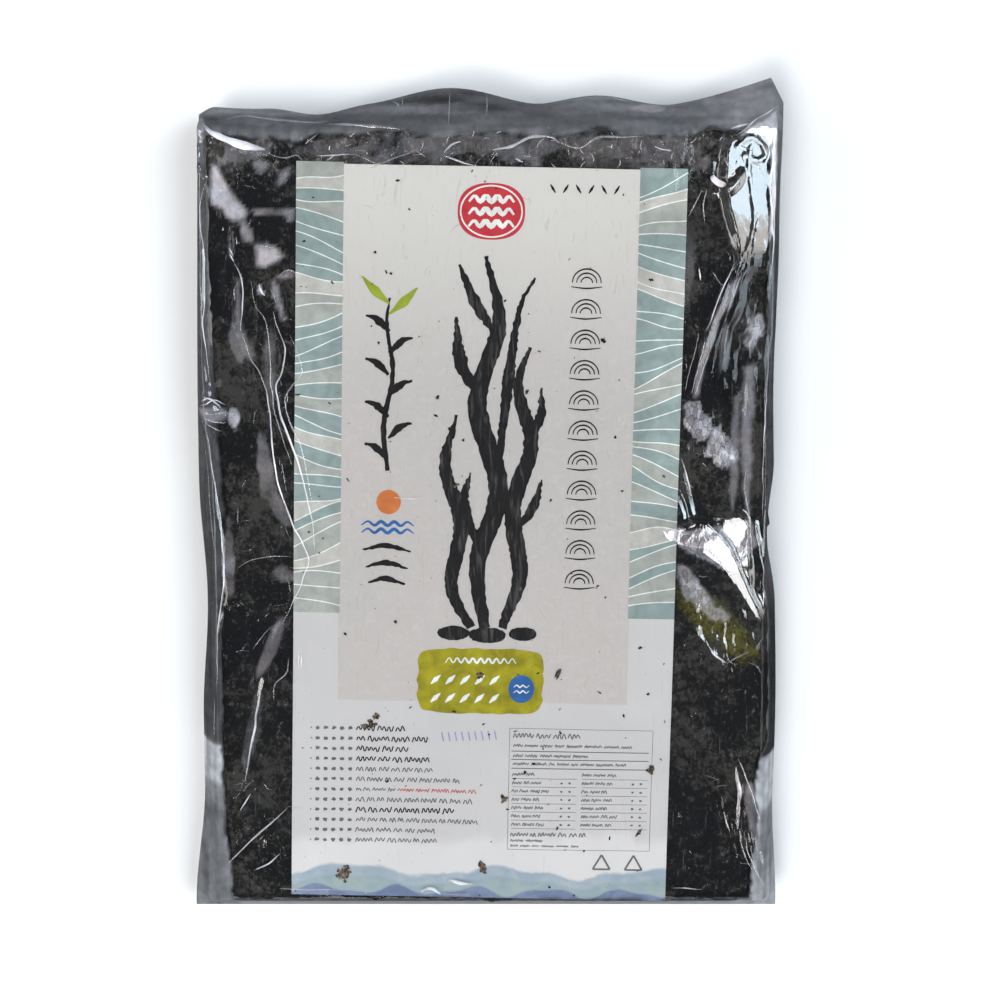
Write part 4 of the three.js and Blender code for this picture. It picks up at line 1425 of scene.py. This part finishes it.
def seaStrip(shade, spots, across, along, paper):  # washes of blue along the insert's foot
    foot = insert["length"] / 2
    wash = shade.noise(spots, 0.12, 4.0, 0.62, 0.8)
    far = (across * 0.115 + 0.6).sum("SINE") * 1.9 + (across * 0.31).sum("SINE") * 0.7 + wash * 3.6
    near = (across * 0.23 + 2.1).sum("SINE") * 1.5 + (across * 0.41 + 1).sum("SINE") * 0.6
    near = near + wash * 2.4 - 0.9
    up = along + foot
    farMask = 1 - (up - far).above(7.2, 8.6)
    middle = 1 - (up - far * 0.8).above(3.8, 5.6)
    nearMask = 1 - (up - near).above(1.6, 2.6)
    pale = shade.blend(wash.above(0.35, 0.65), (0.195, 0.265, 0.335), (0.265, 0.325, 0.37))
    green = shade.blend(wash.above(0.4, 0.6), (0.195, 0.285, 0.30), (0.245, 0.31, 0.30))
    deep = shade.blend(wash.above(0.35, 0.65), (0.09, 0.11, 0.225), (0.15, 0.185, 0.31))
    faded = shade.blend(farMask * up.above(0, 9) * 0.35 + farMask * 0.5, paper, pale)
    faded = shade.blend(middle * 0.7, faded, green)
    return shade.blend(nearMask * 0.8, faded, deep)


def printPiece(name, pieces, material):
    finishPiece(joined(name, pieces), material)


def ontoPaper(piece, u, v, lift):
    x, y = fromPaper(u, v)
    placeVertices(piece, x, y, paperHeight(x, y) + lift)


def stroke(points, width, lift, steps=None, rough=0.0, seed=0):  # an inked line; width may be a list
    line = np.array(points, float)
    long = np.hypot(*np.diff(line, axis=0).T).sum()
    steps = steps or max(1, int(long / 0.8))
    widths = np.atleast_1d(np.array(width, float))
    piece, across, along = addGrid("stroke", 2 if rough or len(line) > 2 else 1, steps)
    if len(line) > 2:
        curve = smoothLine(line, 200)
    else:
        curve = mix(line[0], line[1], np.linspace(0, 1, 200)[:, None])
    cu, cv, tu, tv = followed(curve, along)
    wide = np.interp(along, np.linspace(0, 1, len(widths)), widths) if len(widths) > 1 else widths[0]
    wide = wide + rough * drift(along * long, np.sign(across - 0.5) * 9, 1.1, 3, 600 + seed)
    offset = (across - 0.5) * wide
    ontoPaper(piece, cu + tv * offset, cv - tu * offset, lift)
    return piece


def blob(u, v, halfU, halfV, lift, square=2.0, rough=0.0, seed=0, cells=10):  # round to squarish spot
    piece, across, along = addGrid("blob", cells, cells)
    a = across * 2 - 1
    b = along * 2 - 1
    out = np.maximum(np.abs(a), np.abs(b))
    angle = np.arctan2(b, a)
    c = np.cos(angle)
    s = np.sin(angle)
    reach = (np.abs(c) ** square + np.abs(s) ** square) ** (-1 / square)
    reach = reach * out * (1 + rough * drift(angle * 4, angle * 0, 0.5, 1, 700 + seed))
    ontoPaper(piece, u + halfU * reach * c, v + halfV * reach * s, lift)
    return piece


def scribble(left, right, v, tall, line, rng, lift):  # a run of small up and down pen marks
    steps = max(5, int((right - left) / (0.22 * tall + 0.1)))
    places = np.linspace(left, right, steps) + rng.uniform(-0.1, 0.1, steps)
    heights = tall / 2 * np.where(np.arange(steps) % 2, 1, -1) * rng.uniform(0.45, 1, steps)
    return stroke(list(zip(places, v + heights)), line, lift, steps * 3)


def ripple(left, right, v, tall, line, lift, waves):
    steps = 2 * waves + 1
    places = np.linspace(left, right, steps)
    points = [(u, v + (0.5 if k % 2 else -0.5) * tall) for k, u in enumerate(places)]
    return stroke(points, [0.4 * line, line, line, 0.4 * line], lift, steps * 4)


def bandEdges(side, steps):  # wave lines of one band; each crest hides the lines behind it
    rng = np.random.default_rng(61 if side > 0 else 62)
    across = np.linspace(0, 1, steps + 1)
    reach = bands["top"] - bands["bottom"]
    edges = []
    for layer in range(bands["layers"]):
        base = bands["top"] - reach * (layer + rng.uniform(-0.2, 0.2)) / bands["layers"]
        slope = side * 6.5 * math.sin(layer * 0.42 + side) + rng.uniform(-1, 1) * 1.2
        swing = rng.uniform(0.3, 1.2)
        bend = np.sin(across * rng.uniform(2, 4) + rng.uniform(0, 6))
        edges.append(base + slope * (across - 0.5) + swing * bend)
    edges[0] = np.full(steps + 1, bands["top"])
    for layer in range(bands["layers"] - 2, -1, -1):
        edges[layer] = np.maximum(edges[layer], edges[layer + 1])
    edges.append(np.full(steps + 1, bands["bottom"]))
    return [np.clip(edge, bands["bottom"], bands["top"]) for edge in edges]


def makeBands(materials):
    rng = np.random.default_rng(63)
    kinds = list(bands["shares"])
    fields = {kind: [] for kind in kinds}
    lines = []
    for side in (-1, 1):
        inner = side * bands["inner"]
        outer = side * insert["width"] / 2
        low, high = sorted((inner, outer))
        edges = bandEdges(side, bands["steps"])
        shares = np.linspace(0, 1, bands["steps"] + 1)
        for upper, lower in zip(edges[:-1], edges[1:]):
            if np.max(upper - lower) < bands["thinnest"]:
                continue
            piece, across, along = addGrid("field", bands["steps"], 4)
            bottom = np.interp(across, shares, lower)
            top = np.interp(across, shares, upper)
            ontoPaper(piece, mix(low, high, across), mix(bottom, top, along), printLift["field"])
            fields[rng.choice(kinds, p=list(bands["shares"].values()))].append(piece)
        for edge in edges[1:-1]:
            points = list(zip(mix(low, high, shares)[::2], edge[::2]))
            lines.append(stroke(points, bands["line"], printLift["line"], 24))
    for kind, pieces in fields.items():
        printPiece("band" + kind.title(), pieces, materials[kind])
    printPiece("bandLines", lines, materials["white"])
    print("bands printed")


# Ink brush drawing of laver fronds that sway up the middle: each blade is a line with its widths.
fronds = {
    "middle": 1.4,
    "pebbles": [(-12, -33, 5.5, 2.6), (0, -33.6, 6.5, 2.8), (12.5, -33, 5, 2.4)],
    "stems": [
        {"points": [(-1, -31), (-4, -8), (3, 18), (-5, 48), (2, 76), (-3, 99)],
         "width": [3.5, 6.5, 7, 6.5, 5.5, 1.2]},
        {"points": [(5, -31), (11, -12), (8, 12), (14, 34), (9, 54), (13, 68)],
         "width": [3, 5.5, 6, 5.5, 4.5, 1]},
        {"points": [(-6, -31), (-13, -16), (-10, 6), (-16, 26), (-12, 44)], "width": [3, 5, 5.5, 4.5, 1]},
    ],
    "blades": [
        {"points": [(-3, -4), (-9, 12), (-7, 24)], "width": [2, 4.5, 0.8]},
        {"points": [(2, 20), (8, 76), (14, 92)], "width": [1.5, 4.2, 0.8]},
        {"points": [(-4, 50), (-11, 62), (-13, 78)], "width": [2, 5, 0.8]},
        {"points": [(1, 72), (-7, 84), (-12, 96)], "width": [2, 4.2, 0.7]},
        {"points": [(12, 34), (17, 44), (17, 54)], "width": [1.6, 3.8, 0.7]},
        {"points": [(9, 4), (15, 12), (18, 22)], "width": [1.6, 3.8, 0.7]},
    ],
}


def makeFronds(materials):
    pieces = []
    for number, blade in enumerate([*fronds["stems"], *fronds["blades"]]):
        points = [(u + fronds["middle"], v) for u, v in blade["points"]]
        pieces.append(stroke(points, blade["width"], printLift["line"], 90, 0.7, number))
    for number, (u, v, halfU, halfV) in enumerate(fronds["pebbles"]):
        pieces.append(blob(u + fronds["middle"], v, halfU, halfV, printLift["line"], 2.2, 0.06, number))
    printPiece("brushFronds", pieces, materials["brush"])
    print("fronds printed")


def words(left, right, v, tall, rng, gap=(0.7, 1.1), long=(1.8, 6.5)):  # a row of small marks
    pieces = []
    lift = printLift["line"]
    u = left
    while u < right - long[0]:
        end = min(right, u + rng.uniform(*long))
        pieces.append(scribble(u, end, v, tall, 0.15 + 0.11 * tall, rng, lift))
        u = end + rng.uniform(*gap)
    return pieces


def dabs(left, right, v, reach, rng):  # a row of single small marks
    lift = printLift["line"]
    return [blob(u, v + rng.uniform(-0.1, 0.1), reach, 0.8 * reach, lift, 3.0, 0.35, rng.integers(1000), 3)
            for u in np.arange(left, right, smallPrint["dabPitch"])]


smallPrint = {
    "left": -59.0,
    "top": -68.0,
    "pitch": 3.72,
    "dabPitch": 2.9,
    "rows": [22, 36, 24, 33, 34, 46, 50, 52, 44, 57, 36, 37],
    "bold": [0, 1, 2, 3, 8],
    "roseRow": 6,
}
table = {"left": 10.0, "right": 61.0, "top": -67.0, "bottom": -111.2, "rule": 0.15}


def makeSmallPrint(materials):
    rng = np.random.default_rng(71)
    lift = printLift["line"]
    grey = []
    black = []
    rose = []
    for row, long in enumerate(smallPrint["rows"]):
        v = smallPrint["top"] - smallPrint["pitch"] * row
        left = smallPrint["left"]
        grey.append(blob(left - 1.6, v, 0.28, 0.28, lift, cells=3))
        split = left + 14.5
        grey += dabs(left + 0.7, split - 1.5, v, 0.74, rng)
        end = split + long * 0.8
        if row == smallPrint["roseRow"]:
            grey += words(split, split + 14, v, 1.5, rng)
            rose += words(split + 15, end + 4, v, 1.6, rng)
        elif row in smallPrint["bold"]:
            black += words(split, end, v, 2.5, rng, (0.7, 1.0), (3.0, 9.0))
        else:
            grey += words(split, end, v, 2.0, rng)
    for number in range(6):
        u = 21.0 + 4.4 * number
        lean = 0.9 if number % 2 else -0.9
        black.append(stroke([(u - lean, 120.9), (u, 122.3), (u + lean, 123.8)], [0.3, 0.95, 0.3], lift, 14))
    printPiece("smallPrint", grey, materials["grey"])
    printPiece("smallPrintBold", black, materials["black"])
    printPiece("smallPrintRose", rose, materials["rose"])
    print("small print laid")


def makeTable(materials):
    rng = np.random.default_rng(72)
    left, right, top, bottom = [table[key] for key in ("left", "right", "top", "bottom")]
    lift = printLift["line"]
    rule = table["rule"]
    corners = [(left, top), (right, top), (right, bottom), (left, bottom), (left, top)]
    pieces = [stroke([a, b], rule, lift, 12) for a, b in zip(corners[:-1], corners[1:])]
    pieces += words(left + 1.4, left + 25, top - 2.6, 2.2, rng, (0.8, 1.1), (2.5, 8.0))
    pieces += words(left + 1.4, right - 5, top - 6.2, 1.3, rng)
    for v in (top - 8.2, top - 11.2, top - 14.4):
        pieces.append(stroke([(left + 0.8, v), (right - 1.2, v)], 2 * rule, lift, 12))
    pieces += words(left + 1.4, left + 30, top - 9.8, 1.4, rng)
    pieces += words(left + 1.4, right - 9, top - 12.8, 1.3, rng)
    middle = (left + right) / 2
    for row in range(7):
        v = top - 16.6 - 3.05 * row
        for start, end in ((left + 1.2, middle - 1.2), (middle + 0.6, right - 1.2)):
            pieces += words(start, start + rng.uniform(9, 14), v, 1.4, rng, (0.6, 0.8), (1.8, 4.5))
            if row:
                pieces += dabs(end - 5.4, end - 0.5, v, 0.44, rng)
            pieces.append(stroke([(start, v - 1.5), (end, v - 1.5)], rule, lift, 8))
    pieces += words(left + 1, left + 30, bottom + 5.6, 1.9, rng)
    pieces += words(left + 1, left + 15, bottom + 3.3, 1.2, rng)
    pieces += words(left + 1, left + 28, bottom + 1.4, 1.0, rng)
    printPiece("tableGrid", pieces, materials["grey"])
    print("table laid")


marks = {
    "seal": {"at": (0.0, 114.2), "half": (11.6, 9.6)},
    "block": {"at": (-0.8, -50.2), "half": (22.2, 11.7), "spot": (14.6, -2.6)},
    "sun": {"at": (-34.2, 13.0), "half": 4.3},
    "sprig": {"foot": (-34.6, 24.0), "leaves": 7, "pitch": 7.4},
    "fans": {"u": 33.4, "top": 90.5, "pitch": 10.5, "count": 11, "rings": (5.0, 3.5, 2.0)},
    "stamp": {"at": (-14.2, -68.9), "count": 9},
    "signs": {"at": [(43.9, -115.5), (55.4, -115.6)], "half": 3.1},
}


def makeSeal(materials):
    u, v = marks["seal"]["at"]
    halfU, halfV = marks["seal"]["half"]
    seal = blob(u, v, halfU, halfV, printLift["line"], 2.4, cells=16)
    printPiece("seal", [seal], materials["red"])
    pale = []
    for row in range(3):  # three pale ripples in a pale ring
        pale.append(ripple(u - 7.8, u + 7.8, v + 4.2 - 4.2 * row, 2.0, 1.75, printLift["over"], 4))
    ring = [(u + (halfU - 1) * math.cos(a), v + (halfV - 0.9) * math.sin(a))
            for a in np.linspace(0, 2 * math.pi, 25)]
    pale.append(stroke(ring, 0.55, printLift["over"], 90))
    return pale


def makeBlock(materials):  # brushed block with pale marks and a round blue spot
    u, v = marks["block"]["at"]
    halfU, halfV = marks["block"]["half"]
    block = blob(u, v, halfU, halfV, printLift["line"], 6.0, 0.02, 3, 36)
    printPiece("oliveBlock", [block], materials["olive"])
    over = printLift["over"]
    pale = [ripple(u - 12.5, u + 12.5, v + 7.4, 1.9, 0.75, over, 9)]
    for row in (0.4, -6.2):
        for number in range(5):
            leaf = u - 17.5 + 5.2 * number
            pale.append(stroke([(leaf, v + row - 1.6), (leaf + 1.6, v + row), (leaf + 3.4, v + row + 1.7)],
                               [0.4, 1.7, 0.3], over, 16))
    offU, offV = marks["block"]["spot"]
    spot = blob(u + offU, v + offV, 4.6, 5.0, over, cells=12)
    return pale, spot


def makeMarks(materials):
    line = printLift["line"]
    pale = makeSeal(materials)
    blockPale, spot = makeBlock(materials)
    blue = [spot]
    spotU, spotV = [at + off for at, off in zip(marks["block"]["at"], marks["block"]["spot"])]
    sprigU, sprigV = marks["sprig"]["foot"]
    for row in range(2):
        wave = [(sprigU - 9 + 2.3 * k, 5.2 - 2.6 * row + (0.9 if k % 2 else -0.5)) for k in range(9)]
        blue.append(stroke(wave, [0.4, 1.2, 1.2, 0.4], line, 70))
    for row in range(2):
        level = spotV + 1.0 - 2.0 * row
        wave = [(spotU - 2.7 + 1.1 * k, level + (0.4 if k % 2 else -0.4)) for k in range(6)]
        pale.append(stroke(wave, [0.2, 0.5, 0.5, 0.2], printLift["over"] + 0.03, 30))
    printPiece("paleMarks", pale + blockPale, materials["white"])
    printPiece("blueMarks", blue, materials["blue"])
    half = marks["sun"]["half"]
    sun = blob(*marks["sun"]["at"], half, half, line, 2.0, 0.02, 5, 12)
    printPiece("sunSpot", [sun], materials["orange"])
    leaves = []
    for side, base in ((-1, 88.0), (1, 84.5)):  # two fresh leaves at the sprig's tip
        leaf = [(sprigU, base - 6), (sprigU + side * 5.2, base - 1.5), (sprigU + side * 9.6, base + 3.2)]
        leaves.append(stroke(leaf, [0.6, 3.4, 0.5], line, 40, 0.2, 8 + side))
    printPiece("leafMarks", leaves, materials["green"])
    stem = [(sprigU, sprigV), (sprigU - 1.6, 40), (sprigU + 1.4, 58), (sprigU - 0.8, 74), (sprigU, 84)]
    ink = [stroke(stem, [1.4, 1.9, 1.7, 1.5, 0.8], line, 70, 0.4, 9)]
    for number in range(marks["sprig"]["leaves"]):
        side = 1 if number % 2 else -1
        v = sprigV + 4 + marks["sprig"]["pitch"] * number
        twig = [(sprigU, v), (sprigU + side * 4.4, v + 4.2), (sprigU + side * 8.2, v + 5.4)]
        ink.append(stroke(twig, [1.0, 2.8, 0.6], line, 30, 0.4, 10 + number))
    for number, v in enumerate((-4.0, -10.0, -15.6)):  # three slim swashes under the waves
        swash = [(-43 + number, v), (-35, v + 1.6), (-26 - number, v - 0.4)]
        ink.append(stroke(swash, [0.6, 2.2, 0.5], line, 40, 0.4, 70 + number))
    fans = marks["fans"]
    u = fans["u"]
    for number in range(fans["count"]):  # a column of small shell fans in thin line
        v = fans["top"] - fans["pitch"] * number
        for radius in fans["rings"]:
            arc = [(u + radius * math.cos(a), v + 0.95 * radius * math.sin(a))
                   for a in np.linspace(0, math.pi, 9)]
            ink.append(stroke(arc, [0.35, 0.6, 0.35], line, 22, 0.06, 30 + number))
        ink.append(stroke([(u - 5.4, v - 1.4), (u, v - 1.9), (u + 5.4, v - 1.3)], [0.3, 0.6, 0.3], line, 12))
    printPiece("inkMarks", ink, materials["black"])
    stamp = []
    for number in range(marks["stamp"]["count"]):
        u, v = marks["stamp"]["at"][0] + 2.35 * number, marks["stamp"]["at"][1] + 0.12 * number
        stamp.append(stroke([(u, v), (u + 0.7, v - 3.3)], 0.45, line, 6))
    printPiece("violetStamp", stamp, materials["violet"])
    signs = []
    half = marks["signs"]["half"]
    for u, v in marks["signs"]["at"]:
        corners = [(u - half, v - 2.6), (u, v + 2.7), (u + half, v - 2.6), (u - half, v - 2.6)]
        signs += [stroke([a, b], 0.7, line, 6) for a, b in zip(corners[:-1], corners[1:])]
    printPiece("plainTriangles", signs, materials["grey"])
    print("marks printed")


fibres = {"count": 26, "long": (4, 13), "width": 0.22, "lift": 0.012, "colour": (0.43, 0.37, 0.33)}


def makeFibres():  # long fibres lying in the handmade panel of the paper
    rng = np.random.default_rng(83)
    pieces = []
    for _ in range(fibres["count"]):
        u, v = rng.uniform((-49, -52), (48, 124))
        long = rng.uniform(*fibres["long"])
        lean = rng.uniform(0, math.pi)
        points = []
        for _ in range(5):
            points.append((u, v))
            u = u + 0.25 * long * math.cos(lean)
            v = v + 0.25 * long * math.sin(lean)
            lean = lean + rng.uniform(-0.6, 0.6)
        widths = [share * fibres["width"] for share in (0.4, 1, 0.3)]
        pieces.append(stroke(points, widths, fibres["lift"], 16))
    printPiece("paperFibres", pieces, inkMaterial("fibre", fibres["colour"]))
    print("fibres laid")


def makeInsert():
    piece, across, along = addGrid("paperInsert", insert["columns"], insert["rows"])
    u = (across - 0.5) * insert["width"]
    v = (along - 0.5) * insert["length"]
    ontoPaper(piece, u, v, 0)
    thicken(piece, insert["thickness"])
    finishPiece(piece, paperMaterial(), 50)
    materials = {name: inkMaterial("ink" + name.title(), colour) for name, colour in inks.items()}
    materials["brush"] = inkMaterial("inkBrush", inks["black"], 0.2, 0.8)
    materials["olive"] = inkMaterial("inkOliveBrush", inks["olive"], 0.3)
    makeFibres()
    makeBands(materials)
    makeFronds(materials)
    makeSmallPrint(materials)
    makeTable(materials)
    makeMarks(materials)
    print("insert done")


# ---- loose flakes
flakes = {
    "corners": 18,
    "jags": 17,
    "thickness": 0.1,
    "scattered": 300,
    "large": [(-37.6, -63.4, 1.6), (-39.4, -65.9, 1.5), (-41.3, -67.2, 1.7), (-37.9, -66.4, 1.0),
              (1.3, -118.1, 1.9), (2.0, -120.0, 1.0), (26.8, -46.6, 1.9), (8.4, -92.6, 1.5),
              (57.3, -104.4, 1.7), (60.7, -81.3, 1.7), (-1.2, -47.7, 1.5), (-66, 50, 1.2), (62, 24, 1.0),
              (-10.5, 19.5, 1.1), (12.8, -17.2, 1.0), (-48.5, 20.6, 0.9)],
    "clusters": [(-48.7, -122.0, 3.6, 16), (-47.5, -119.0, 1.4, 5)],  # place, spread, count
}


def flakeMaterial():  # thin torn bits, brown where the light comes through
    shade = Shade.forMaterial("driedFlake")
    spots = shade.place()
    blot = shade.noise(spots, 0.7, 4.0, 0.65, 0.4)
    grain = shade.noise(shade.place(turn=0.8, stretch=(1, 0.4, 1)), 3.0, 3.0, 0.6)
    colour = shade.blend(blot.above(0.46, 0.56), (0.014, 0.015, 0.012), (0.15, 0.095, 0.065))
    colour = shade.blend(grain.above(0.55, 0.7) * 0.7, colour, (0.23, 0.21, 0.17))
    return shade.closeMatte(colour, grain * 0.4 + 0.4, 0.2, Normal=shade.bump(grain, 0.5, 0.0003))


def makeFlakes(material, brown):
    rng = np.random.default_rng(81)
    first, angle, top = addSlab("flake", flakes["corners"])
    places = list(flakes["large"])
    for u, v, spread, count in flakes["clusters"]:
        for _ in range(count):
            atU = u + rng.normal() * spread / 2
            atV = v + rng.normal() * spread / 3
            places.append((atU, atV, rng.uniform(0.4, 1.2)))
    for _ in range(flakes["scattered"]):
        size = 0.12 + 0.75 * rng.random() ** 4
        places.append((rng.uniform(-66, 66), rng.uniform(-129, 129), size))
    pieces = []
    for number, (u, v, size) in enumerate(places):
        piece = copyOf(first) if number else first
        jags = rng.uniform(-1, 1, flakes["jags"])
        jag = 1 + 0.6 * np.interp(angle, np.linspace(-np.pi, np.pi, len(jags)), jags, period=2 * np.pi)
        slim = rng.uniform(0.25, 0.85)
        turn = rng.uniform(0, 6.28)
        du = size * jag * np.cos(angle)
        dv = size * jag * np.sin(angle) * slim
        flakeU = u + du * math.cos(turn) - dv * math.sin(turn)
        flakeV = v + du * math.sin(turn) + dv * math.cos(turn)
        x, y = fromPaper(flakeU, flakeV)
        curl = 0.12 * size * rng.random() * (du / size) ** 2
        placeVertices(piece, x, y, paperHeight(x, y) + 0.1 + curl + top * flakes["thickness"])
        pieces.append(piece)
    large = len(places) - flakes["scattered"]
    finishPiece(joined("looseFlakes", pieces[large:]), material, 30)
    finishPiece(joined("largeFlakes", pieces[:large]), brown, 30)
    print("flakes:", len(places))


# ---- studio
studio = {
    "floorSize": 6000.0,
    "pictureWidth": 1000,
    "focal": 1482.0,  # in pixels of that picture
    "distance": 520.0,
    "pitch": math.radians(5.6),
    "target": (5.2, 2.9, 25.0),
}
# Soft lights of the room: the way they stand, in degrees to the right and away from straight up, how wide
# they are in the middle and at their soft edge, and their colour.
glows = [
    {"toward": (33, 4), "inner": 12, "outer": 16, "glow": (6.5, 7.7, 8.6)},  # window
    {"toward": (-21, -34), "inner": 9, "outer": 15, "glow": (8.0, 8.0, 8.0)},
    {"toward": (-33, 6), "inner": 4, "outer": 15, "glow": (1.2, 1.13, 1.25)},
    {"toward": (30, -15), "inner": 5, "outer": 11, "glow": (4.2, 4.0, 3.8)},
]
# Light from both sides: between which heights, how far round and how soft its edges are.
sides = {"low": 0.36, "high": 0.62, "narrow": 0.91, "soft": 0.06, "glow": (4.2, 4.2, 4.2)}
room = {"up": (0.03, 0.032, 0.036), "level": (0.11, 0.113, 0.12)}
lamp = {"toward": (-0.35, -0.3, 0.88), "far": 1400.0, "size": 800.0, "glow": 3.35}


def makeFloor():
    bpy.ops.mesh.primitive_plane_add(size=studio["floorSize"] * mm, location=(0, 0, -0.0002))
    floor = bpy.context.object
    floor.name = "floor"
    shade = Shade.forMaterial("paleFloor")
    grain = shade.noise(shade.place(), 0.01, 3.0)
    tone = shade.blend(grain, (0.86, 0.86, 0.86), (0.88, 0.88, 0.88))
    floor.data.materials.append(shade.closeMatte(tone, 0.7, 0.1))
    floor.visible_glossy = False  # the table that the film mirrored was dark


def makeRoom():
    shade = Shade.forWorld("softRoom")
    toward = shade.node("TexCoord", output=0)
    x, _, z = shade.parts(toward)
    light = shade.blend(z.above(0.2, 0.93), room["level"], room["up"])
    for glow in glows:
        right, back = [math.tan(math.radians(angle)) for angle in glow["toward"]]
        middle = Vector((right, back, 1)).normalized()
        near = shade.node("VectorMath", {"operation": "DOT_PRODUCT"}, {0: toward, 1: tuple(middle)}, 1)
        edges = [math.cos(math.radians(glow[key])) for key in ("outer", "inner")]
        light = shade.blend(near.above(*edges), light, glow["glow"])
    level = (1 - z * z).atLeast(0.0001) ** 0.5
    narrow, low, high = [(sides[key] - sides["soft"], sides[key] + sides["soft"])
                         for key in ("narrow", "low", "high")]
    band = (x / level).size().above(*narrow) * z.above(*low) * (1 - z.above(*high))
    light = shade.blend(band, light, sides["glow"])
    glowing = shade.node("Background", None, {"Color": light, "Strength": 1.0})
    bpy.context.scene.world = shade.close(glowing, "OutputWorld")


def makeLamp():
    data = bpy.data.lights.new("softLamp", "AREA")
    data.size = lamp["size"] * mm
    data.energy = lamp["glow"] * math.pi * data.size**2
    piece = bpy.data.objects.new("softLamp", data)
    bpy.context.collection.objects.link(piece)
    toward = Vector(lamp["toward"]).normalized()
    piece.location = toward * lamp["far"] * mm
    piece.rotation_euler = toward.to_track_quat("Z", "Y").to_euler()
    piece.visible_glossy = False


def makeCamera():
    pitch = studio["pitch"]
    back = Vector((0, math.sin(pitch), math.cos(pitch)))
    up = Vector((0, math.cos(pitch), -math.sin(pitch)))
    right = up.cross(back)
    camera = bpy.data.objects.new("camera", bpy.data.cameras.new("camera"))
    bpy.context.collection.objects.link(camera)
    camera.data.lens = camera.data.sensor_width * studio["focal"] / studio["pictureWidth"]
    camera.data.clip_start = 0.01
    place = (Vector(studio["target"]) + back * studio["distance"]) * mm
    camera.matrix_world = Matrix.Translation(place) @ Matrix((right, up, back)).transposed().to_4x4()
    bpy.context.scene.camera = camera
    bpy.context.scene.view_settings.view_transform = "Standard"


makeCamera()
makeFloor()
makeRoom()
makeLamp()
print("studio set")
laverMatte = laverMaterial()
makeStack(laverMatte)
makeTopSheet(laverMatte)
makeInsert()
makeFlakes(laverMatte, flakeMaterial())
filmGloss = filmMaterial()
makeFilm(filmGloss)
makeCreases(filmGloss)
